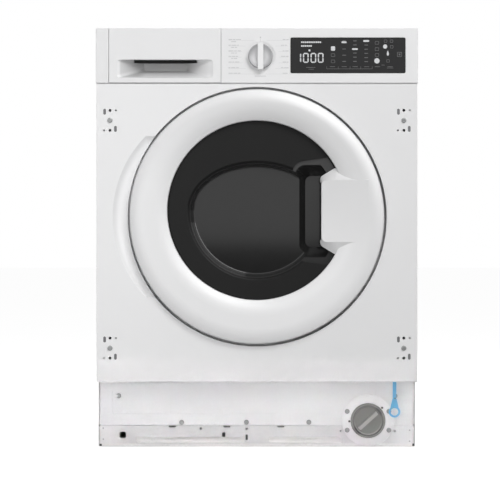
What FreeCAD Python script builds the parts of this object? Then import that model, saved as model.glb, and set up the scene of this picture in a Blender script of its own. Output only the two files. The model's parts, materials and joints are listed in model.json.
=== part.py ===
"""Integrated washer dryer: cabinet, sprung tub, drum, door, drawer, knob, filter, release tag and feet.

Millimetres. X to the right seen from the front, the front faces -Y, Z up from the floor.
"""
import FreeCAD, Part
import math
import os

V = FreeCAD.Vector

# Cabinet
WIDTH = 595.0
DEPTH = 540.0
FOOT_DROP = 2.0
PLINTH_H = 123.4
PANEL_H = 552.0
FASCIA_GAP = 0.4
FASCIA_H = 101.2
FASCIA_OVERHANG = 1.0
FASCIA_PROUD = 3.0
TOE_DEPTH = 55.0
DOOR_PROUD = 20.0
SPIGOT_PROUD = 20.0
SHEET = 1.2
FLANGE = 14.0
MOULD = 3.0
SEAT = 0.3
RUN = 0.05
PRESS_DEPTH = 2.0
EDGE_ROUND = 1.0
SCREW_R = 2.0
SCREW_HEAD_R = 4.6
SCREW_HEAD_H = 2.4
SCREW_LEN = 8.0
SCREW_CROSS = 0.6
ROUND_FLAT = 0.1
CUT_PAST = 5.0
SIDE_PRESSES = (0.3, 0.7)
SIDE_PRESS_END = 0.12
COVER_STEP = 4.0
COVER_SLOPE = 16.0
TOP_LIP_IN = 70.0
TOP_PRESS_IN = 84.0
TOP_PRESSES = (0.25, 0.5, 0.75)

# Furniture hinge hole groups on the front panel
GROUP_MARGIN = 25.0
GROUP_UP = 62.6
GROUP_DOWN = 68.4
BOLT_SPAN = 37.0
BOLT_R = 2.6
PEG_R = 1.65
PEG_X = 11.0
SLOT_X = 10.0
SLOT_W = 5.0
SLOT_H = 11.0
SLOT_NEARER = 2.6
BACK_PLATE_T = 2.0
BACK_PLATE_MARGIN = 6.0

# Door
NEST_BELOW = 65.6
NEST_ABOVE = 6.4
NEST_DRAFT = 1.5
NEST_DEPTH = 28.0
PORT_LAND = 64.0
COLLAR_LEN = 12.0
DOOR_GAP = 5.5
DOOR_FOOT = 4.0
CROWN_RUN = 28.0
CROWN_RISE = 8.2
CROWN_EDGE = 4.5
RING_W = 68.9
WINDOW_UP = 11.5
BEVEL_RUN = 29.0
BEVEL_RISE = 8.6
BEVEL_EDGE = 2.0
BEVEL_FOOT = 4.0
DOOR_WALL = 3.0
WINDOW_T = 4.0
WINDOW_SINK = 2.0
WINDOW_FLANGE = 12.0
DISH_RIM = 41.6
DISH_RIM_TOP = 78.6
DISH_DEPTH = 15.0
DISH_DRAFT = 8.0
DISH_ROUND = 5.0
DISH_STEPS = 6
POCKET_W = 84.0
POCKET_RIM = 15.6
POCKET_HALF = 90.0
POCKET_DRAFT = 24.0
POCKET_DEPTH = 30.0
POCKET_CORNER = 22.0
MOUTH_DEPTH = 5.5
MOUTH_RISE = 8.0
MOUTH_RIM = 2.5
GRIP_W = 88.5
GRIP_RIM = 29.5
GRIP_SHOULDER = 28.0
GRIP_HALF = 63.0
GRIP_FLARE = 17.0
GRIP_SLOPE = 23.0
GRIP_SLOPE_SIDE = 0.25
GRIP_T = 4.5
GRIP_FINGERS = 34.0
GRIP_CORNER = 10.0
GLASS_T = 4.0
GLASS_GAP = 10.0
GLASS_DEPTH = 92.0
GLASS_TAPER = 34.0
GLASS_CLEAR = 6.0
FRAME_T = 12.0
FRAME_INSET = 10.5
FRAME_LAP = 9.0
SWING_INSET = 10.4
SWING_IN = 0.5
KNUCKLE_R = 4.2
HINGE_NOTCH = 1.4
LUG_SHIFT = 0.5
PIN_R = 2.2
ARM_HALF = 20.0
BRACKET_LEN = 18.0
CRESCENT_R = 212.0
CRESCENT_REACH = 26.5
CRESCENT_HALF = 149.0
CRESCENT_SLOPE = 26.0
CRESCENT_DEPTH = 10.0
CRESCENT_STEPS = 5
CRESCENT_CORNER = 11.0
HOOK_INSET = 30.5
HOOK_T = 8.0
HOOK_REACH = 32.0
HOOK_PIN_R = 2.5
LOCK_W = 40.0
LOCK_H = 74.0
LOCK_D = 30.0
LOCK_ARM_H = 18.5
HOOK_ROOM = 1.6
CRESCENT_BOW = 0.2
GRIP_DROP = 1.5
GRIP_NIP = 0.1
FINGER_RUN_IN = 20.0
FINGER_INSET = 10.0
FINGER_ROUND = 9.0
DISH_EASE = 0.2
GLASS_BELLY = 0.45
GLASS_ROUND = 30.0
GLASS_LEAN = 3.0
GLASS_FIT = 1.5
FRAME_ROUND = 2.5
FRAME_LIP_ROUND = 1.5
HOOK_HALF = 4.5
HOOK_BACK = 3.0
HOOK_NECK = 10.0
HOOK_NOSE = 9.5
HOOK_TIP = 6.0
HOOK_ROUND = 2.0
LOCK_ROUND = 6.0
BRACKET_IN = 1.5
BRACKET_T = 2.5
ARM_KNUCKLES = 8
SEAL_LIP = 1.5
SEAL_STEP = 2.0
SEAL_TUCK = 6.0
SEAL_END = 13.0
SEAL_IN = 3.0
SEAL_TAPER = 1.2
SEAL_END_ROUND = 1.5
POCKET_IN = 4.0

# Control fascia, drawer front, display and knob
DRAWER_MARGIN = 24.0
DRAWER_TO_KNOB = 73.0
DRAWER_GAP = 0.6
DRAWER_TOP = 2.0
DRAWER_EDGE = 1.0
DRAWER_FRONT_D = 36.0
RECESS_MARGIN = 14.5
RECESS_H = 34.0
RECESS_UP = 9.2
RECESS_DEPTH = 30.0
RECESS_SIDE = 49.0
RECESS_SILL = 15.0
RECESS_CORNER = 6.0
UNDERCUT_INSET = 31.0
UNDERCUT_H = 9.0
UNDERCUT_DROP = 4.8
UNDERCUT_LIP = 4.0
DISPLAY_TO_KNOB = 55.4
DISPLAY_UP = 50.9
DISPLAY_MARGIN = 23.1
DISPLAY_H = 65.8
DISPLAY_CORNER = 3.0
DISPLAY_LEDGE = 4.0
LENS_T = 2.0
KNOB_X = 6.5
KNOB_UP = 49.2
KNOB_R = 22.6
KNOB_RING_R = 26.5
KNOB_PROUD = 12.0
KNOB_RIM_DROP = 2.5
KNOB_RIM = 1.8
KNOB_DISH = 5.0
KNOB_BAR = 10.6
KNOB_BAR_LEN = 49.6
KNOB_BAR_EDGE = 1.0
KNOB_STEM_R = 5.0
RING_GROOVE = 0.8
BOARD_T = 2.0
BOARD_PEG_IN = 5.0
BOARD_PEG_GAP = 12.0
BUSH_SHARE = 2.4
BUSH_LEN = 8.0
KNOB_EDGE = 1.2
KNOB_FLAT = 0.6
LENS_PROUD = 0.2
UNDERCUT_BACK = 8.0
DRAWER_LIFT = 0.4

# Soap dispenser
TRAY_LEN = 190.0
TRAY_H = 58.0
TRAY_UP = 25.2
TRAY_WALL = 2.0
TRAY_SIDE = 11.0
HOUSING_WALL = 2.5
HOUSING_GAP = 2.0
HOUSING_BACK = 10.0
WELL_SHARE = 0.36
SIPHON_LEN = 57.0
SIPHON_BACK = 5.0
SIPHON_DROP = 11.0
SIPHON_T = 3.0
SIPHON_STEM = 30.0
SIPHON_R = 7.0
TRAY_ROUND = 8.0
SOFTENER_IN = 30.0
HOSE_FROM_BACK = 30.0
HOUSING_OVER = 10.0
RUNNER_W = 5.0
HOUSING_SPOUT = 16.0
WELL_ROUND = 4.0
HOUSING_FRONT = 4.0
HOSE_RIBS = 8
HOSE_SWELL = 2.0

# Plinth, base and feet
LEDGE_H = 39.0
STRIP_SIDE = 70.5
STRIP_GAP = 23.0
STRIP_H = 11.0
STRIP_SINK = 4.8
PLINTH_GAP = 2.4
PANEL_PRESS_SIDE = 21.5
PANEL_PRESS_END = 14.0
PANEL_PRESS_GAP = 10.0
PANEL_PRESS_SHARES = (0.0, 0.257, 0.485, 0.762, 1.0)
LEDGE_OUT = 4.0
BASE_T = 5.0
BASE_WALL = 3.0
FOOT_SIDE = 28.5
FOOT_FRONT = 100.0
FOOT_REAR = 45.0
PAD_R = 20.0
PAD_H = 8.0
CUP_GAP = 2.0
CUP_H = 11.0
STUD_R = 5.0
STUD_LEN = 65.0
NUT_R = 9.0
NUT_H = 4.4
BOSS_R = 12.0
BOSS_H = 30.0
FILTER_SIDE = 88.5
FILTER_UP = 48.0
PUMP_SETBACK = 118.0
SCROLL_LEN = 26.0
SCROLL_STEP = 3.0
PUMP_MOTOR_R = 24.0
PUMP_MOTOR_LEN = 46.0
CAP_R = 32.4
CAP_OUT = 9.0
CAP_BAR_L = 47.0
CAP_BAR_W = 7.4
CAP_FACE_R = 27.0
CAP_FACE_SINK = 3.0
CAP_BAR_TURN = 42.0
CAP_BAR_OUT = 13.0
BEZEL_R = 49.0
BEZEL_T = 3.0
BASKET_R = 26.0
BASKET_LEN = 84.0
CHAMBER_WALL = 3.0
CAP_FIT = 0.4
TAG_SIDE = 39.5
TAG_RING_UP = 65.1
TAG_RING_R = 10.7
TAG_HOLE_R = 7.0
TAG_W = 6.6
TAG_FLARE = 15.4
TAG_FLARE_LOW = 8.0
TAG_FLARE_HIGH = 26.0
TAG_T = 2.0
TAG_SETBACK = 40.0
TAG_SLOT = 8.0
RAIL_SCREWS = (-141.0, -19.5, 97.4)
PANEL_SCREW_X = 259.0
PANEL_SCREW_UP = 94.0
BEZEL_SCREW_X = 39.0
BEZEL_SCREW_Z = 17.5
SQUARE_X = -251.0
SQUARE_UP = 21.0
SQUARE_W = 12.0
PILOT_XS = (-105.0, -19.0, 157.0, 258.0)
PILOT_UPS = (33.0, 32.5, 28.6, 28.0)
PILOT_W = 4.0
LATCH_X = -62.0
LATCH_UP = 21.7
LATCH_W = 6.0
LATCH_H = 8.5
SLIT_X = -19.0
SLIT_UP = 16.6
SLIT_W = 4.0
SLIT_H = 10.0
EDGE_SLOT_XS = (-158.0, -56.0, 45.0)
EDGE_SLOT_UP = 37.0
EDGE_SLOT_W = 13.0
EDGE_SLOT_H = 3.4
HOLE_ROUND = 0.3
PAD_EDGE = 2.0
PAD_TOP_ROUND = 1.5
PAD_FLARE = 4.0
CAP_STEP = 2.0
CAP_BACK = 6.0
CAP_SINK = 4.0
CAP_LIP_ROUND = 0.8
CAP_RIM_ROUND = 1.5
BASKET_SLATS = 10
BASKET_WALL = 3.0
BASKET_RING = 5.0
SLAT_HALF = 1.6
TAG_ROUND = 1.5

# Tub, drum and drive
TUB_SETBACK = 72.0
REAR_SPACE = 106.0
REAR_SIDE = 30.0
REAR_LOW = 50.0
REAR_HIGH = 20.0
REAR_CORNER = 40.0
TUB_WALL = 4.0
TUB_JOINT = 150.0
TUB_RIM = 9.0
TUB_RIB_H = 14.0
TUB_TRAVEL = 10.0
DRUM_INSET = 8.0
DRUM_SHEET = 1.5
DRUM_GAP = 12.0
DRUM_FRONT_GAP = 12.0
DRUM_BACK_GAP = 26.0
DRUM_MOUTH_STEP = 4.0
LIFTER_H = 44.0
LIFTER_W = 74.0
LIFTERS = 3
TUB_MOUTH_STEP = 4.0
MOUTH_LEN = 16.0
SHAFT_R = 15.0
BEARING_R = 31.0
BEARING_W = 16.0
HUB_R = 42.0
HUB_LEN = 44.0
PULLEY_R = 146.0
PULLEY_W = 16.0
PULLEY_STANDOFF = 12.0
MOTOR_X = -70.0
MOTOR_UP = 99.0
MOTOR_LUG_T = 10.0
MOTOR_LUG_HALF = 20.0
MOTOR_LUG_FRONT = 15.0
MOTOR_LUG_REAR = 25.0
MOTOR_R = 58.0
MOTOR_LEN = 110.0
MOTOR_PULLEY_R = 10.0
MOTOR_SHAFT_R = 7.0
BELT_T = 4.0
BELT_W = 14.0
WEIGHT_INSET = 2.0
WEIGHT_W = 50.0
WEIGHT_T = 26.0
WEIGHT_ANGLE = 112.0
SPRING_SIDE = 46.5
SPRING_Y = 60.0
SPRING_R = 11.0
SPRING_WIRE_R = 2.2
SPRING_PITCH = 9.0
EAR_UP = 170.0
EAR_T = 6.0
EAR_BRACE = 70.0
HANGER_DROP = 44.0
DAMPER_X = 150.0
DAMPER_R = 16.0
DAMPER_ROD_R = 6.0
DAMPER_H = 105.0
DAMPER_REACH = 0.6
SUMP_TO_PUMP = 98.0
SUMP_SETBACK = 150.0
SUMP_R = 24.0
HOSE_T = 3.0
HEATER_R = 3.5
HEATER_X = 25.0
HEATER_LAP = 9.5
HEATER_FLANGE_T = 4.0
HEATER_STUB = 8.0
TUB_ROUND = 8.0
TUB_IN_ROUND = 5.0
TUB_RIM_W = 6.0
SPOUT_UP = 40.0
SPOUT_CUT = 60.0
TUB_RIBS = 12
BEARING_STEP = 6.0
EAR_ROOT = 0.6
MOTOR_LUG_TOP = 0.7
TUB_CUT = 40.0
DRUM_HUB_R = 70.0
DRUM_STEP_R = 90.0
DRUM_HUB_SINK = 9.0
DRUM_CONE = 34.0
DRUM_ROLL = 14.0
DRUM_LIP = 8.0
DRUM_STEP_ROUND = 4.0
DRUM_BACK_ROUND = 15.0
DRUM_CONE_ROUND = 13.0
DRUM_ROLL_ROUND = 9.0
LIFTER_FRONT = 50.0
LIFTER_BACK = 30.0
LIFTER_TRIM = 2.0
LIFTER_ROOT = 8.0
LIFTER_ROUND = 7.0
LIFTER_TOP = 0.34
SPIDER_HUB_R = 60.0
SPIDER_ARM_T = 14.0
SPIDER_ROOT = 22.0
SPIDER_TIP = 12.0
SPIDER_SHORT = 8.0
SPIDER_GAP = 3.0
SHAFT_END = 4.0
PULLEY_SPOKES = 6
PULLEY_RIM = 7.0
SPOKE_INSET = 5.0
SPOKE_HALF = 9.0
MOTOR_WALL = 12.0
MOTOR_END = 10.0
MOTOR_ROUND = 4.0
ROTOR_WALL = 13.0
ROTOR_END = 14.0
ROTOR_TAIL = 4.0
WEIGHT_ROUND = 4.0
DAMPER_ROOM = 30.0
DAMPER_FLOOR = 10.0

# Dryer, water and power
DUCT_X = 150.0
DUCT_W = 110.0
DUCT_H = 58.0
DUCT_SINK = 6.0
DUCT_LEN = 170.0
FAN_R = 50.0
FAN_GAP = 5.0
DUCT_WALL = 3.0
FAN_MOTOR_R = 26.0
FAN_MOTOR_H = 20.0
VALVE_X = -200.0
VALVE_DROP = 45.0
VALVE_HALF = 22.0
VALVE_HALF_H = 20.0
VALVE_LEN = 46.0
THREAD_NECK = 0.7
THREAD_WALL = 4.0
HOSE_TUCK = 1.0
THREAD_R = 13.2
HOSE_R = 9.0
DRAIN_UP = 137.0
DRAIN_R = 11.0
SPIGOT_R = 11.8
DRAIN_BEND = 30.0
GLAND_SIDE = 56.5
GLAND_UP = 60.0
GLAND_R = 9.0
DUCT_FRONT = 20.0
DUCT_ROUND = 8.0
DUCT_JOIN = 20.0
LEG_FROM = 10.0
LEG_TO = 50.0
LEG_HALF = 20.0
LEG_W = 30.0
LEG_DOWN = 0.6
DUCT_ROUND_IN = 6.0
FAN_SHAFT_R = 4.0
FAN_CLEAR = 4.0
FAN_PLATE = 3.0
FAN_HUB_R = 10.0
FAN_BLADES = 9
BLADE_IN = 20.0
BLADE_HALF = 1.2
BLADE_TURN = 28.0
BLADE_PIVOT = 0.7
PUMP_INLET = 24.0
PUMP_OUTLET = 16.0
PUMP_WALL = 5.0
IMPELLER_SHAFT_R = 3.0
SHAFT_POCKET = 40.0
IMPELLER_FRONT = 22.0
IMPELLER_SHAFT = 38.0
IMPELLER_HUB_R = 7.0
IMPELLER_BACK = 7.0
IMPELLER_R = 22.0
GLAND_WALL = 5.0
GLAND_IN = 8.0
GLAND_FLANGE = 4.0
GLAND_TAPER = 3.0
GLAND_OUT = 0.7
IMPELLER_BLADES = 4
HOSE_STANDOFF = 3.0
SUMP_BEND_IN = 26.0

# Derived planes and centres
Z_BASE = FOOT_DROP
Z_LEDGE = Z_BASE + LEDGE_H
Z_PANEL = Z_BASE + PLINTH_H
Z_PANEL_TOP = Z_PANEL + PANEL_H
Z_FASCIA = Z_PANEL_TOP + FASCIA_GAP
Z_TOP = Z_FASCIA + FASCIA_H
HALF = WIDTH / 2 - FASCIA_OVERHANG
INNER = HALF - SHEET
Y_FRONT = DOOR_PROUD - DEPTH / 2
Y_REAR = DEPTH / 2 - SPIGOT_PROUD
Y_FASCIA = Y_FRONT - FASCIA_PROUD
Y_SIDE = Y_FRONT + FLANGE + SEAT
Y_PLINTH = Y_FRONT + TOE_DEPTH
Y_LEDGE = Y_PLINTH - LEDGE_OUT
NEST_R = (PANEL_H - NEST_BELOW - NEST_ABOVE) / 2
DOOR_Z = Z_PANEL + NEST_BELOW + NEST_R
DOOR_R = NEST_R - DOOR_GAP
PORT_R = NEST_R - PORT_LAND
WINDOW_R = DOOR_R - RING_W
DISH_R = WINDOW_R - DISH_RIM
DISH_TOP = WINDOW_R - DISH_RIM_TOP
POCKET_RIGHT = WINDOW_R - POCKET_RIM
POCKET_LEFT = POCKET_RIGHT - POCKET_W
GRIP_RIGHT = DOOR_R - GRIP_RIM
GRIP_LEFT = GRIP_RIGHT - GRIP_W
GLASS_R = PORT_R - GLASS_GAP
GLASS_FLOOR_R = GLASS_R - GLASS_TAPER
FRAME_R = DOOR_R - FRAME_INSET
SWING_X = DOOR_R - SWING_INSET
HOOK_X = DOOR_R - HOOK_INSET
CRESCENT_X = NEST_R + CRESCENT_REACH - CRESCENT_R
GROUP_X = HALF - GROUP_MARGIN
GROUP_SPAN = PANEL_H - GROUP_UP - GROUP_DOWN
WINDOW_Z = DOOR_Z + WINDOW_UP
GRIP_Z = WINDOW_Z - GRIP_DROP
KNOB_Z = Z_FASCIA + KNOB_UP
DRAWER_W = WIDTH / 2 - DRAWER_MARGIN + KNOB_X - DRAWER_TO_KNOB
DRAWER_X = KNOB_X - DRAWER_TO_KNOB - DRAWER_W / 2
RECESS_W = DRAWER_W - 2 * RECESS_MARGIN
UNDERCUT_W = RECESS_W - 2 * UNDERCUT_INSET
DISPLAY_W = WIDTH / 2 - DISPLAY_MARGIN - KNOB_X - DISPLAY_TO_KNOB
DISPLAY_X = KNOB_X + DISPLAY_TO_KNOB + DISPLAY_W / 2
FOOT_X = HALF - FOOT_SIDE
FILTER_X = HALF - FILTER_SIDE
TAG_X = HALF - TAG_SIDE
SUMP_X = FILTER_X - SUMP_TO_PUMP
GLAND_X = GLAND_SIDE - HALF
SPRING_X = HALF - SPRING_SIDE
DRUM_R = NEST_R - DRUM_INSET
DRUM_MOUTH_R = PORT_R - DRUM_MOUTH_STEP
MOUTH_R = PORT_R + TUB_MOUTH_STEP
TUB_IN_R = DRUM_R + DRUM_GAP
TUB_OUT_R = TUB_IN_R + TUB_WALL
WEIGHT_OUT_R = TUB_OUT_R - WEIGHT_INSET
WEIGHT_IN_R = WEIGHT_OUT_R - WEIGHT_W
DUCT_UP = TUB_OUT_R - DUCT_SINK
Y_TUB = Y_FRONT + TUB_SETBACK
Y_TUB_REAR = Y_REAR - REAR_SPACE
Y_JOINT = Y_TUB + TUB_JOINT
Y_DRUM = Y_TUB + TUB_WALL + DRUM_FRONT_GAP
Y_DRUM_REAR = Y_TUB_REAR - TUB_WALL - DRUM_BACK_GAP
Y_PULLEY = Y_TUB_REAR + HUB_LEN + PULLEY_STANDOFF
MOTOR_Z = Z_BASE + MOTOR_UP
Y_MOTOR = Y_TUB_REAR - MOTOR_LEN
FILTER_Z = Z_BASE + FILTER_UP
Y_SUMP = Y_FRONT + SUMP_SETBACK
ORIGIN_DOOR = V(0, 0, DOOR_Z)
ORIGIN_WINDOW = V(0, 0, WINDOW_Z)


def out(distance):
    """The Y of a plane that stands this far out of the front panel."""
    return Y_FRONT - distance


def box(x0, x1, y0, y1, z0, z1):
    return Part.makeBox(x1 - x0, y1 - y0, z1 - z0, V(x0, y0, z0))


def rod_y(r, y0, y1, x, z):
    return Part.makeCylinder(r, y1 - y0, V(x, y0, z), V(0, 1, 0))


def rod_z(r, z0, z1, x, y):
    return Part.makeCylinder(r, z1 - z0, V(x, y, z0), V(0, 0, 1))


def rod_x(r, x0, x1, y, z):
    return Part.makeCylinder(r, x1 - x0, V(x0, y, z), V(1, 0, 0))


def tube_y(r_out, r_in, y0, y1, x, z):
    return rod_y(r_out, y0, y1, x, z).cut(rod_y(r_in, y0, y1, x, z))


def tube_z(r_out, r_in, z0, z1, x, y):
    return rod_z(r_out, z0, z1, x, y).cut(rod_z(r_in, z0, z1, x, y))


def wire_of(corners, place):
    """A closed wire through corners (a, b) or (a, b, radius), each radius a tangent arc."""
    spots = []
    count = len(corners)
    for i in range(count):
        here = V(corners[i][0], corners[i][1], 0)
        radius = corners[i][2] if len(corners[i]) > 2 else 0.0
        back = V(corners[i - 1][0], corners[i - 1][1], 0).sub(here)
        ahead = V(corners[(i + 1) % count][0], corners[(i + 1) % count][1], 0).sub(here)
        if radius <= 0.0:
            spots.append((here, here, here))
            continue
        half = back.getAngle(ahead) / 2
        back.normalize()
        ahead.normalize()
        reach = radius / math.tan(half)
        middle = back.add(ahead)
        middle.normalize()
        depth = radius / math.sin(half) - radius
        spots.append((here.add(back * reach), here.add(middle * depth), here.add(ahead * reach)))
    edges = []
    for i in range(count):
        start, middle, end = spots[i]
        following = spots[(i + 1) % count][0]
        if start.sub(end).Length > 1e-6:
            edges.append(Part.Arc(place(start), place(middle), place(end)).toShape())
        if end.sub(following).Length > 1e-6:
            edges.append(Part.makeLine(place(end), place(following)))
    return Part.Wire(edges)


def wire_xz(corners, y):
    return wire_of(corners, lambda p: V(p.x, y, p.y))


def prism_y(corners, y0, y1):
    return Part.Face(wire_xz(corners, y0)).extrude(V(0, y1 - y0, 0))


def prism_x(corners, x0, x1):
    return Part.Face(wire_of(corners, lambda p: V(x0, p.x, p.y))).extrude(V(x1 - x0, 0, 0))


def prism_z(corners, z0, z1):
    return Part.Face(wire_of(corners, lambda p: V(p.x, p.y, z0))).extrude(V(0, 0, z1 - z0))


def turned_y(corners, x, z):
    """Corners (radius, y) turned about the line along Y through x, z."""
    face = Part.Face(wire_of(corners, lambda p: V(x + p.x, p.y, z)))
    return face.revolve(V(x, 0, z), V(0, 1, 0), 360)


def turned_z(corners, x, y):
    """Corners (radius, z) turned about the upright line through x, y."""
    face = Part.Face(wire_of(corners, lambda p: V(x + p.x, y, p.y)))
    return face.revolve(V(x, y, 0), V(0, 0, 1), 360)


def quarter(start, corner, end):
    """A quarter of an ellipse from start to end inside the given corner."""
    curve = Part.BezierCurve()
    curve.setPoles([start, corner, end])
    curve.setWeight(2, math.sqrt(0.5))
    return curve.toShape()


def turned_edges(edges, centre):
    face = Part.Face(Part.Wire(edges))
    return face.revolve(centre, V(0, 1, 0), 360)


def between(wire_a, wire_b):
    return Part.makeLoft([wire_a, wire_b], True, True)


def rectangle(x0, x1, z0, z1, radius):
    return [(x0, z0, radius), (x1, z0, radius), (x1, z1, radius), (x0, z1, radius)]


def joined(shapes):
    whole = shapes[0]
    if len(shapes) > 1:
        whole = shapes[0].multiFuse(shapes[1:])
    return whole.removeSplitter()


def group(shapes):
    return Part.makeCompound(shapes)


def mirrored(shape):
    return shape.mirror(V(0, 0, 0), V(1, 0, 0))


# Front panel: pressed sheet with the round door nest, the crescent and the hinge hole groups
def funnel(r_top, r_floor, depth, below):
    """A round recess from the panel's face down to a flat floor, with a stub above the face."""
    corners = [(0, out(below)), (r_top, out(below)), (r_top, out(0)), (r_floor, out(-depth)),
               (0, out(-depth))]
    return turned_y(corners, 0, DOOR_Z)


def crescent(grow, depth, above):
    """The sloping pocket left of the door, which the door's edge swings into."""
    def outline(radius, half, y):
        reach = math.sqrt(max(radius ** 2 - half ** 2, 1.0))
        left = -CRESCENT_X
        right = left + reach * CRESCENT_BOW
        top = V(left - reach, y, DOOR_Z + half)
        low = V(left - reach, y, DOOR_Z - half)
        bow = V(left - radius, y, DOOR_Z)
        far_top = V(right, y, DOOR_Z + half)
        far_low = V(right, y, DOOR_Z - half)
        arc = Part.Arc(low, bow, top).toShape()
        lines = [Part.makeLine(top, far_top), Part.makeLine(far_top, far_low), Part.makeLine(far_low, low)]
        return Part.Wire([arc] + lines)
    def level(run, y):
        return outline(CRESCENT_R + grow - run, CRESCENT_HALF + grow - run, y)
    shares = [i / CRESCENT_STEPS for i in range(CRESCENT_STEPS + 1)]
    levels = [level(CRESCENT_SLOPE * t, out(-depth * t * (2 - t))) for t in shares]
    pocket = Part.makeLoft(levels, True, False)
    if above > 0:
        return pocket.fuse(between(level(0.0, out(above)), levels[0]))
    return pocket


def group_centres():
    low = Z_PANEL + GROUP_UP
    return [(x, z) for x in (-GROUP_X, GROUP_X) for z in (low, low + GROUP_SPAN)]


def hinge_holes(y0, y1, with_slots):
    holes = []
    for x, z in group_centres():
        for side in (-1, 1):
            row = z + side * BOLT_SPAN / 2
            holes.append(rod_y(BOLT_R, y0, y1, x, row))
            holes.append(rod_y(PEG_R, y0, y1, x + side * PEG_X, row))
            if with_slots:
                middle = row - side * SLOT_NEARER
                x_slot = x - side * SLOT_X
                corners = rectangle(x_slot - SLOT_W / 2, x_slot + SLOT_W / 2,
                                    middle - SLOT_H / 2, middle + SLOT_H / 2, SLOT_W / 2 - ROUND_FLAT)
                holes.append(prism_y(corners, y0, y1))
        holes.append(rod_y(SCREW_R + SEAT, y0, y1, x, z))
    return holes


def screw(x, y, z):
    """A pan-head screw whose head lies on the plane y and points to the front."""
    head = turned_y([(0, y - SCREW_HEAD_H), (SCREW_HEAD_R, y - SCREW_HEAD_H, SCREW_HEAD_H / 2),
                     (SCREW_HEAD_R, y), (0, y)], x, z)
    cross = box(x - SCREW_HEAD_R * SCREW_CROSS, x + SCREW_HEAD_R * SCREW_CROSS, y - SCREW_HEAD_H,
                y - SCREW_HEAD_H / 2, z - 0.5, z + 0.5)
    upright = box(x - 0.5, x + 0.5, y - SCREW_HEAD_H, y - SCREW_HEAD_H / 2,
                  z - SCREW_HEAD_R * SCREW_CROSS, z + SCREW_HEAD_R * SCREW_CROSS)
    shank = rod_y(SCREW_R, y, y + SCREW_LEN, x, z)
    return head.cut(cross.fuse(upright)).fuse(shank)


def front_panel():
    depth = FLANGE
    shell = box(-HALF, HALF, Y_FRONT, Y_FRONT + depth, Z_PANEL, Z_PANEL_TOP)
    edges = [e for e in shell.Edges if abs(e.BoundBox.YMax - Y_FRONT) < 1e-6]
    shell = shell.makeFillet(EDGE_ROUND, edges)
    shell = shell.cut(box(-INNER, INNER, Y_FRONT + SHEET, Y_FRONT + depth, Z_PANEL + SHEET,
                          Z_PANEL_TOP - SHEET))
    lower = box(-INNER, INNER, Y_FRONT + depth - SHEET, Y_PLINTH, Z_PANEL, Z_PANEL + SHEET)
    nest_back = funnel(NEST_R + SHEET, NEST_R - NEST_DRAFT + SHEET, NEST_DEPTH + SHEET, 0.0)
    collar = rod_y(PORT_R + SHEET, out(-NEST_DEPTH), out(-NEST_DEPTH - COLLAR_LEN), 0, DOOR_Z)
    body = joined([shell, lower, nest_back, crescent(SHEET, CRESCENT_DEPTH + SHEET, 0.0), collar])
    body = body.cut(funnel(NEST_R, NEST_R - NEST_DRAFT, NEST_DEPTH, PRESS_DEPTH))
    body = body.cut(crescent(0.0, CRESCENT_DEPTH, PRESS_DEPTH))
    body = body.cut(rod_y(PORT_R, out(0), out(-NEST_DEPTH - COLLAR_LEN - 1), 0, DOOR_Z))
    slot = box(HOOK_X - HOOK_ROOM * HOOK_T, HOOK_X + HOOK_ROOM * HOOK_T, out(-NEST_DEPTH + 1),
               out(-NEST_DEPTH - 2 * SHEET),
               DOOR_Z - HOOK_T, DOOR_Z + HOOK_T)
    tag_way = box(TAG_X - TAG_SLOT, TAG_X + TAG_SLOT, Y_FRONT + TAG_SETBACK - TAG_T,
                  Y_FRONT + TAG_SETBACK + 2 * TAG_T,
                  Z_PANEL - 1, Z_PANEL + 2 * SHEET)
    cuts = [slot, tag_way] + hinge_holes(Y_FRONT - 1, Y_FRONT + SHEET + 1, True)
    return body.cut(cuts).removeSplitter()


def hinge_plates():
    plates = []
    y0 = Y_FRONT + SHEET
    for x, z in group_centres():
        half = BOLT_SPAN / 2 + SLOT_H / 2 + BACK_PLATE_MARGIN
        wide = PEG_X + BACK_PLATE_MARGIN
        plates.append(prism_y(rectangle(x - wide, x + wide, z - half, z + half, BACK_PLATE_MARGIN), y0,
                              y0 + BACK_PLATE_T))
    return group([plate.cut(hinge_holes(y0 - 1, y0 + BACK_PLATE_T + 1, False)) for plate in plates])


# Cabinet sheet work
def side_panel():
    corners = [(Y_LEDGE, Z_BASE), (Y_REAR, Z_BASE), (Y_REAR, Z_TOP - SHEET), (Y_SIDE, Z_TOP - SHEET),
               (Y_SIDE, Z_PANEL, PRESS_DEPTH), (Y_LEDGE, Z_PANEL)]
    skin = prism_x(corners, INNER, HALF)
    fold = box(INNER - FLANGE, INNER, Y_SIDE, Y_SIDE + SHEET, Z_PANEL + 2 * SHEET, Z_FASCIA - FASCIA_GAP)
    y_foot = Y_PLINTH + 2 * SHEET + SEAT
    foot = box(INNER - FLANGE, INNER, y_foot, y_foot + SHEET, Z_LEDGE + SHEET, Z_PANEL - SHEET)
    hanger_z = Z_TOP - HANGER_DROP
    hanger = box(SPRING_X - 2 * SPRING_R, INNER, SPRING_Y - FLANGE, SPRING_Y + FLANGE, hanger_z,
                 hanger_z + 2 * SHEET)
    swages = []
    grooves = []
    span = Z_PANEL_TOP - Z_PANEL
    for share in SIDE_PRESSES:
        y = Y_SIDE + (Y_REAR - Y_SIDE) * share
        low = Z_PANEL + span * SIDE_PRESS_END
        high = Z_PANEL_TOP - span * SIDE_PRESS_END
        wide = 2 * FLANGE
        swages.append(prism_x(rectangle(y - wide, y + wide, low, high, FLANGE), INNER - PRESS_DEPTH, INNER))
        inner = rectangle(y - wide + SHEET, y + wide - SHEET, low + SHEET, high - SHEET, FLANGE - SHEET)
        grooves.append(prism_x(inner, HALF - PRESS_DEPTH, HALF))
    return joined([skin, fold, foot, hanger] + swages).cut(grooves)


def rear_opening(grow):
    wide = PULLEY_R + REAR_SIDE + grow
    return rectangle(-wide, wide, MOTOR_Z - REAR_LOW - grow, DOOR_Z + PULLEY_R + REAR_HIGH + grow,
                     REAR_CORNER + grow)


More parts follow.
